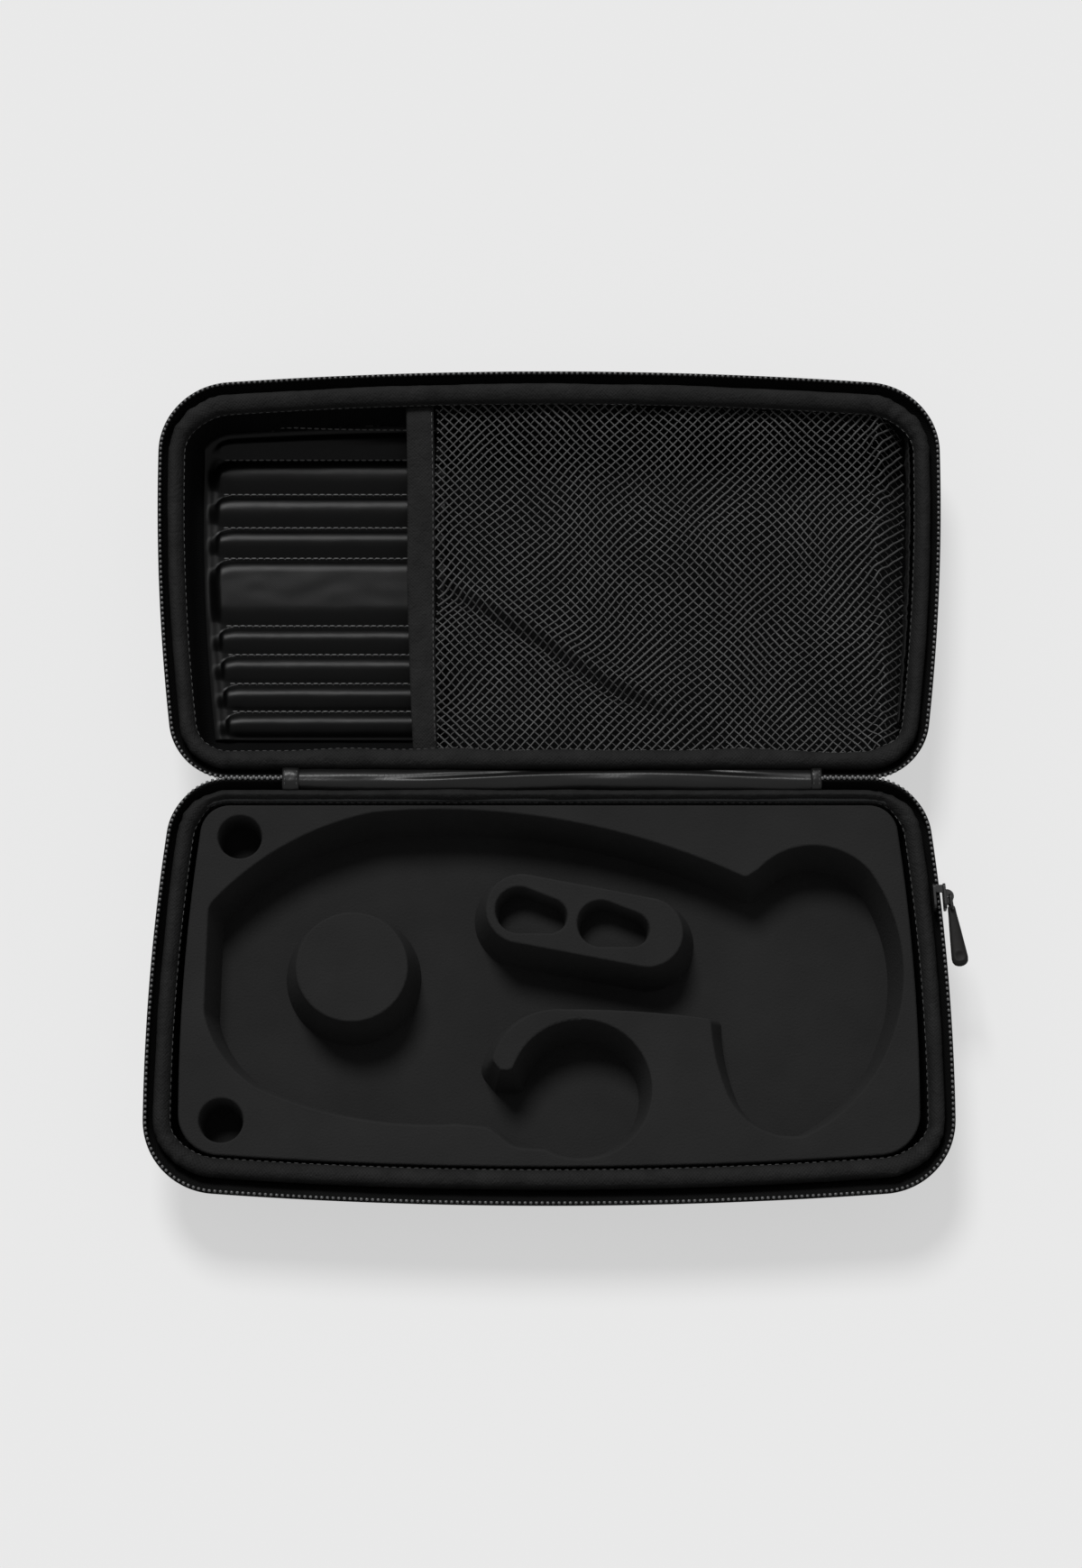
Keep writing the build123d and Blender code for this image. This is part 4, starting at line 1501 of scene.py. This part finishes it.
@dataclass
class SoftSpine:
    """The satin strip that joins the trays, and the sewn tab over each of its ends."""

    flat: tuple[float, float] = (0.1818, 0.0102)
    left: float = -88.8
    right: float = 93.0
    near: float = -4.7  # across the hinge line, towards the base
    far: float = 4.1
    top: float = 0.95
    edge_drop: float = 2.8
    thick: float = 0.45
    wrinkles: Ripple = Ripple(0.16, 16.0, 5 / 12, 3.3)
    sway: tuple[float, float] = (0.25, 19.0)  # how far the strip swings, and its slow wave
    pinches: tuple[tuple[float, float, float], ...] = (  # share of the width, place, width
        (0.07, -88.8, 6.0), (0.1, 8.0, 26.0),
    )
    fold_at: float = 0.5  # share of the strip's width
    fold_swing: float = 0.24
    fold_wave: tuple[float, float] = (-30.0, 34.0)  # where it starts, and its slow wave
    fold_start: tuple[float, float] = (-62.0, -18.0)
    fold_end: tuple[float, float] = (58.0, 84.0)
    fold_strength: tuple[float, float] = (0.75, 0.18)  # between the ends, and everywhere
    crease: tuple[float, float] = (0.55, 0.13)  # height, width
    dent: tuple[float, float] = (0.2, 0.1)  # how far beside the crease, width
    fold_sink: float = 0.25
    tabs: tuple[tuple[str, float, float], ...] = (
        ("spine_tab_left", -94.4, -88.4), ("spine_tab_right", 92.7, 96.4),
    )
    tab_thick: float = 0.6
    tab_drop: float = 2.0
    tab_roundness: float = 2.6
    tab_wrinkles: Ripple = Ripple(0.1, 2.2, 2.2, 6.1)
    tab_shift: float = 0.2
    tab_rise: float = 0.15
    tab_brim: float = 0.35
    stitch_margin: float = 0.9
    stitch_pitch: float = 1.5
    stitch: tuple[float, float] = (1.0, 0.16)
    stitch_ends: tuple[float, float] = (1.2, 0.8)  # in from the strip's two edges
    stitch_rise: float = 0.2
    blend_reach: float = 3.8

    def cross_depth(self, x: Array, share: Array) -> Array:
        """The strip's depth: a soft roll with a fold that twists along it.

        Args:
            x: where the places lie along the hinge.
            share: how far across the strip they lie, 0 to 1.

        Returns:
            The depth at each place.
        """
        roll = np.abs(2 * share - 1) ** 2.0 * self.edge_drop
        start, wave = self.fold_wave
        lane = self.fold_at + self.fold_swing * np.sin((x - start) / wave)
        (height, width), (aside, dent_width) = self.crease, self.dent
        crease, dent = hill(share, lane, width), hill(share, lane + aside, dent_width)
        between, everywhere = self.fold_strength
        between = between * smooth(x, *self.fold_start) * (1 - smooth(x, *self.fold_end))
        folds = (between + everywhere) * (self.fold_sink + dent - height * crease)
        return self.top + roll + folds + self.wrinkles.at(x, share)

    def bend(self, piece: Piece) -> Piece:
        """Bakes a piece's placing into its mesh.

        Args:
            piece: the strip, a tab or its stitches.

        Returns:
            The piece.
        """
        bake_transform(piece)
        return piece

    def build(self) -> list[Piece]:
        """Shapes the strip, the two tabs and their stitches.

        Returns:
            The strip, then each tab and its stitches.
        """
        x, share = np.meshgrid(
            np.linspace(self.left, self.right, 260), np.linspace(0, 1, 26), indexing="ij"
        )
        pinch = 1 - sum(part * hill(x, at, width) for part, at, width in self.pinches)
        swing, wave = self.sway
        middle = (self.near + self.far) / 2 + swing * np.sin(x / wave)
        y = HINGE_Y + middle + (share - 0.5) * (self.far - self.near) * pinch
        grid = np.stack((x, y, RIM_Z - self.cross_depth(x, share)), axis=-1)
        strip = thicken(grid_piece("satin_spine", grid), self.thick)
        SPINE_SATIN.dress(strip)
        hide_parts("spine_cover")
        self.bend(strip)
        return [strip, *(piece for tab in self.tabs for piece in self.sew_tab(*tab))]

    def sew_tab(self, node: str, low: float, high: float) -> list[Piece]:
        """Shapes one tab with a stitch row at each edge.

        Args:
            node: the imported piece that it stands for.
            low: its left edge.
            high: its right edge.

        Returns:
            The tab and its stitches.
        """
        x, share = np.meshgrid(np.linspace(low, high, 14), np.linspace(0, 1, 24), indexing="ij")
        y = HINGE_Y + self.near + self.tab_shift + share * (self.far - self.near)
        brim = self.tab_brim * np.abs(2 * (x - low) / (high - low) - 1) ** 4
        drop = np.abs(2 * share - 1) ** self.tab_roundness * self.tab_drop
        depth = self.top - self.tab_rise + drop + brim + self.tab_wrinkles.at(x, y)
        grid = np.stack((x, y, RIM_Z - depth), axis=-1)
        tab = thicken(grid_piece(f"{node}_patch", grid), self.tab_thick)
        SPINE_SATIN.dress(tab)
        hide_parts(node)
        self.bend(tab)
        near, far = self.stitch_ends
        path_y = HINGE_Y + np.linspace(self.near + near, self.far - far, 30)
        drop = np.abs(np.linspace(-0.8, 0.8, 30)) ** self.tab_roundness * self.tab_drop
        path_z = RIM_Z - self.top + self.stitch_rise - drop
        sewn = []
        for at in (low + self.stitch_margin, high - self.stitch_margin):
            path = np.stack((np.full(30, at), path_y, path_z), axis=-1)
            sewn.append(sewn_row(f"{node}_stitches", path, self.stitch_pitch, self.stitch))
        stitches = join_pieces(sewn)
        SEWING_THREAD.dress(stitches)
        return [tab, self.bend(stitches)]


# ---- Slider ------------------------------------------------------------------------------


@dataclass
class SliderAndPull:
    """The zip's slider, its wire link and the moulded pull."""

    frame: dict
    metal: tuple[str, ...] = ("slider_body", "slider_crown", "pull_link")
    worn_edge: float = 0.12
    hole: tuple[float, float, float] = (140.3976, 32.6842, 33.0)
    angle: float = 8.0
    start: float = 3.1
    stations: tuple[tuple[float, float, float], ...] = (  # distance, half width, half height
        (0.0, 0.5, 0.6), (0.25, 1.15, 1.0), (1.2, 1.35, 1.15), (3.0, 1.45, 1.15),
        (8.0, 1.95, 1.3), (13.0, 2.4, 1.45), (17.0, 2.75, 1.6), (19.1, 2.9, 1.65),
        (20.4, 2.72, 1.6), (21.3, 2.1, 1.4), (21.8, 1.2, 0.95), (21.98, 0.35, 0.4),
    )
    dimple_at: float = 18.6
    dimple_radius: float = 1.25
    dimple_depth: float = 0.4
    dimple_brim: float = 0.16
    brim_at: float = 1.5  # in dimple radii
    brim_tightness: float = 9.0
    squareness: tuple[float, float] = (0.8, 0.62)  # of its section, across and up
    end_from: float = 19.0  # where its rings come closer together
    end_step: float = 0.2

    def build(self) -> list[Piece]:
        """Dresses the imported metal, softens its edges and adds the pull."""
        return [self.soften(self.frame["nodes"][node]) for node in self.metal] + [self.mould()]

    def soften(self, piece: Piece) -> Piece:
        """Dresses a metal piece and rounds its edges.

        Args:
            piece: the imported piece.

        Returns:
            The piece.
        """
        edge = piece.modifiers.new("worn_edges", "BEVEL")
        edge.width = self.worn_edge * METRE
        edge.segments = 2
        edge.limit_method = "ANGLE"
        edge.angle_limit = math.radians(50)
        SLIDER_METAL.dress(piece)
        return piece

    def mould(self) -> Piece:
        """Lofts the pull: a slim paddle that widens to a round end, with a dimple.

        Returns:
            The pull.
        """
        turn = math.radians(self.angle)
        run = np.array((math.sin(turn), -math.cos(turn), 0.0))
        side = np.array((math.cos(turn), math.sin(turn), 0.0))
        origin = np.array(self.hole) + run * self.start
        knots = np.array(self.stations)
        body = np.linspace(0, self.end_from, 44)
        end = np.linspace(self.end_from + self.end_step, knots[-1, 0], 22)
        marks = np.concatenate((body, end))
        wide, tall = along_line(knots[:, 1:], knots[:, 0], marks).T
        turns = np.linspace(0, FULL_TURN, 32, endpoint=False)
        across, lift = (
            np.sign(part) * np.abs(part) ** power
            for part, power in zip((np.cos(turns), np.sin(turns)), self.squareness)
        )
        rings = []
        for mark, half_width, half_height in zip(marks, wide, tall):
            places = (mark - self.dimple_at, across * half_width)
            near = sum((place / self.dimple_radius) ** 2 for place in places)
            brim = np.exp(-((np.sqrt(near) - self.brim_at) ** 2) * self.brim_tightness)
            dip = self.dimple_depth * np.exp(-near) - self.dimple_brim * brim
            aside, above = across * half_width, lift * (half_height - dip)
            rings.append(origin + run * mark + side * aside[:, None] + UP * above[:, None])
        piece = grid_piece("pull_paddle", np.stack(rings), tube=True)
        return settle(piece, PULL_MOULDING, "pull", "pull_tab")


# ---- Studio ------------------------------------------------------------------------------


@dataclass
class Studio:
    """The pale floor, the soft light and the camera."""

    camera_at: tuple[float, float, float] = (0.0, -0.3590, 1.6141)
    target: tuple[float, float, float] = (0.0, 0.0765, 0.033)
    lens: float = 106.63
    film_width: float = 36.0
    shift: tuple[float, float] = (-0.00518, -0.00477)
    floor_reach: float = 30.0
    floor_shade: float = 0.86
    floor_grain: float = 0.004
    grain_scale: float = 60.0
    backdrop: float = 0.81
    floor_glow: float = 0.7
    ambient: float = 0.27
    sun: float = 2.75
    sun_spread: float = 18.0
    sun_tilt: float = 37.0
    sun_heading: float = 196.0

    def build_floor(self) -> None:
        """Lays the floor, which keeps the case's shadow."""
        mesh = bpy.data.meshes.new("studio_floor")
        ways = ((-1, -1), (1, -1), (1, 1), (-1, 1))
        corners = [(x * self.floor_reach, y * self.floor_reach, 0) for x, y in ways]
        mesh.from_pydata(corners, [], [(0, 1, 2, 3)])
        floor = bpy.data.objects.new("studio_floor", mesh)
        bpy.context.scene.collection.objects.link(floor)
        material = bpy.data.materials.new("studio_paper")
        material.use_nodes = True
        tree = material.node_tree
        shader = tree.nodes["Principled BSDF"]
        grain = {
            "Value": add_node(tree, "TexNoise", "Fac", {"Scale": self.grain_scale}),
            "To Min": self.floor_shade - self.floor_grain,
            "To Max": self.floor_shade + self.floor_grain,
        }
        shade = add_node(tree, "MapRange", "Result", grain)
        feed(tree, shader, {"Roughness": 1.0, "Specular IOR Level": 0.0, "Base Color": shade})
        glow = add_node(tree, "Emission", "Emission", {"Strength": self.backdrop})
        seen = add_node(tree, "LightPath", "Is Camera Ray")
        share = add_node(tree, "Math", "Value", {0: seen, 1: self.floor_glow}, "MULTIPLY")
        shaders = {"Fac": share, 1: shader.outputs["BSDF"], 2: glow}
        blend = add_node(tree, "MixShader", "Shader", shaders)
        feed(tree, tree.nodes["Material Output"], {"Surface": blend})
        mesh.materials.append(material)

    def build_world(self) -> None:
        """Lights the case evenly from all round, with a pale background."""
        world = bpy.data.worlds.new("studio")
        bpy.context.scene.world = world
        world.use_nodes = True
        tree = world.node_tree
        rays = tree.nodes.new("ShaderNodeLightPath").outputs
        seen = rays["Is Camera Ray"]
        for ray in ("Is Transmission Ray", "Is Glossy Ray"):
            seen = add_node(tree, "Math", "Value", {0: seen, 1: rays[ray]}, "MAXIMUM")
        ends = {"Value": seen, "To Min": self.ambient, "To Max": self.backdrop}
        strength = add_node(tree, "MapRange", "Result", ends)
        feed(tree, tree.nodes["Background"], {"Color": (1, 1, 1, 1), "Strength": strength})

    def build_light(self) -> None:
        """Hangs a broad soft light beyond the lid, a little to the left."""
        lamp = bpy.data.lights.new("soft_key", "SUN")
        lamp.energy = self.sun
        lamp.angle = math.radians(self.sun_spread)
        light = bpy.data.objects.new("soft_key", lamp)
        bpy.context.scene.collection.objects.link(light)
        light.rotation_euler = (math.radians(self.sun_tilt), 0, math.radians(self.sun_heading))

    def build_camera(self) -> None:
        """Sets the camera where the photograph was taken from."""
        data = bpy.data.cameras.new("camera")
        data.lens = self.lens
        data.sensor_width = self.film_width
        data.sensor_fit = "AUTO"
        data.shift_x, data.shift_y = self.shift
        data.clip_start, data.clip_end = 0.05, 100.0
        camera = bpy.data.objects.new("camera", data)
        bpy.context.scene.collection.objects.link(camera)
        camera.location = self.camera_at
        ahead = Vector(self.target) - Vector(self.camera_at)
        camera.rotation_euler = ahead.to_track_quat("-Z", "Y").to_euler()
        bpy.context.scene.camera = camera


# ---- Putting it together -----------------------------------------------------------------


def main() -> None:
    """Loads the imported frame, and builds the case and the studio."""
    logging.basicConfig(level=logging.INFO, format="%(name)s %(message)s")
    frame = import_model()
    bpy.context.scene.view_settings.view_transform = "Standard"
    studio = Studio()
    studio.build_camera()
    base, lid = RimLine(Half.BASE, front_extra=2.4), RimLine(Half.LID, front_extra=1.0)
    parts = (
        TrayShell(base, frame),
        TrayLining(base),
        RimBinding(base, front_swell=1.0, hinge_swell=-1.5, hinge_sink=0.9, hinge_waves=0.3),
        ZipRow(base),
        TrayShell(lid, frame),
        TrayLining(lid),
        RimBinding(lid, front_swell=1.6, hinge_swell=1.2, hinge_sink=0.0, hinge_waves=1.1),
        ZipRow(lid),
        CutFoam(frame),
        RibbedPad(lid),
        NetPocket(lid),
        SoftSpine(),
        SliderAndPull(frame),
    )
    for part in parts:
        for piece in part.build():
            LOG.info("%s: %d faces", piece.name, len(piece.data.polygons))
    studio.build_floor()
    studio.build_world()
    studio.build_light()


if __name__ == "__main__":
    main()
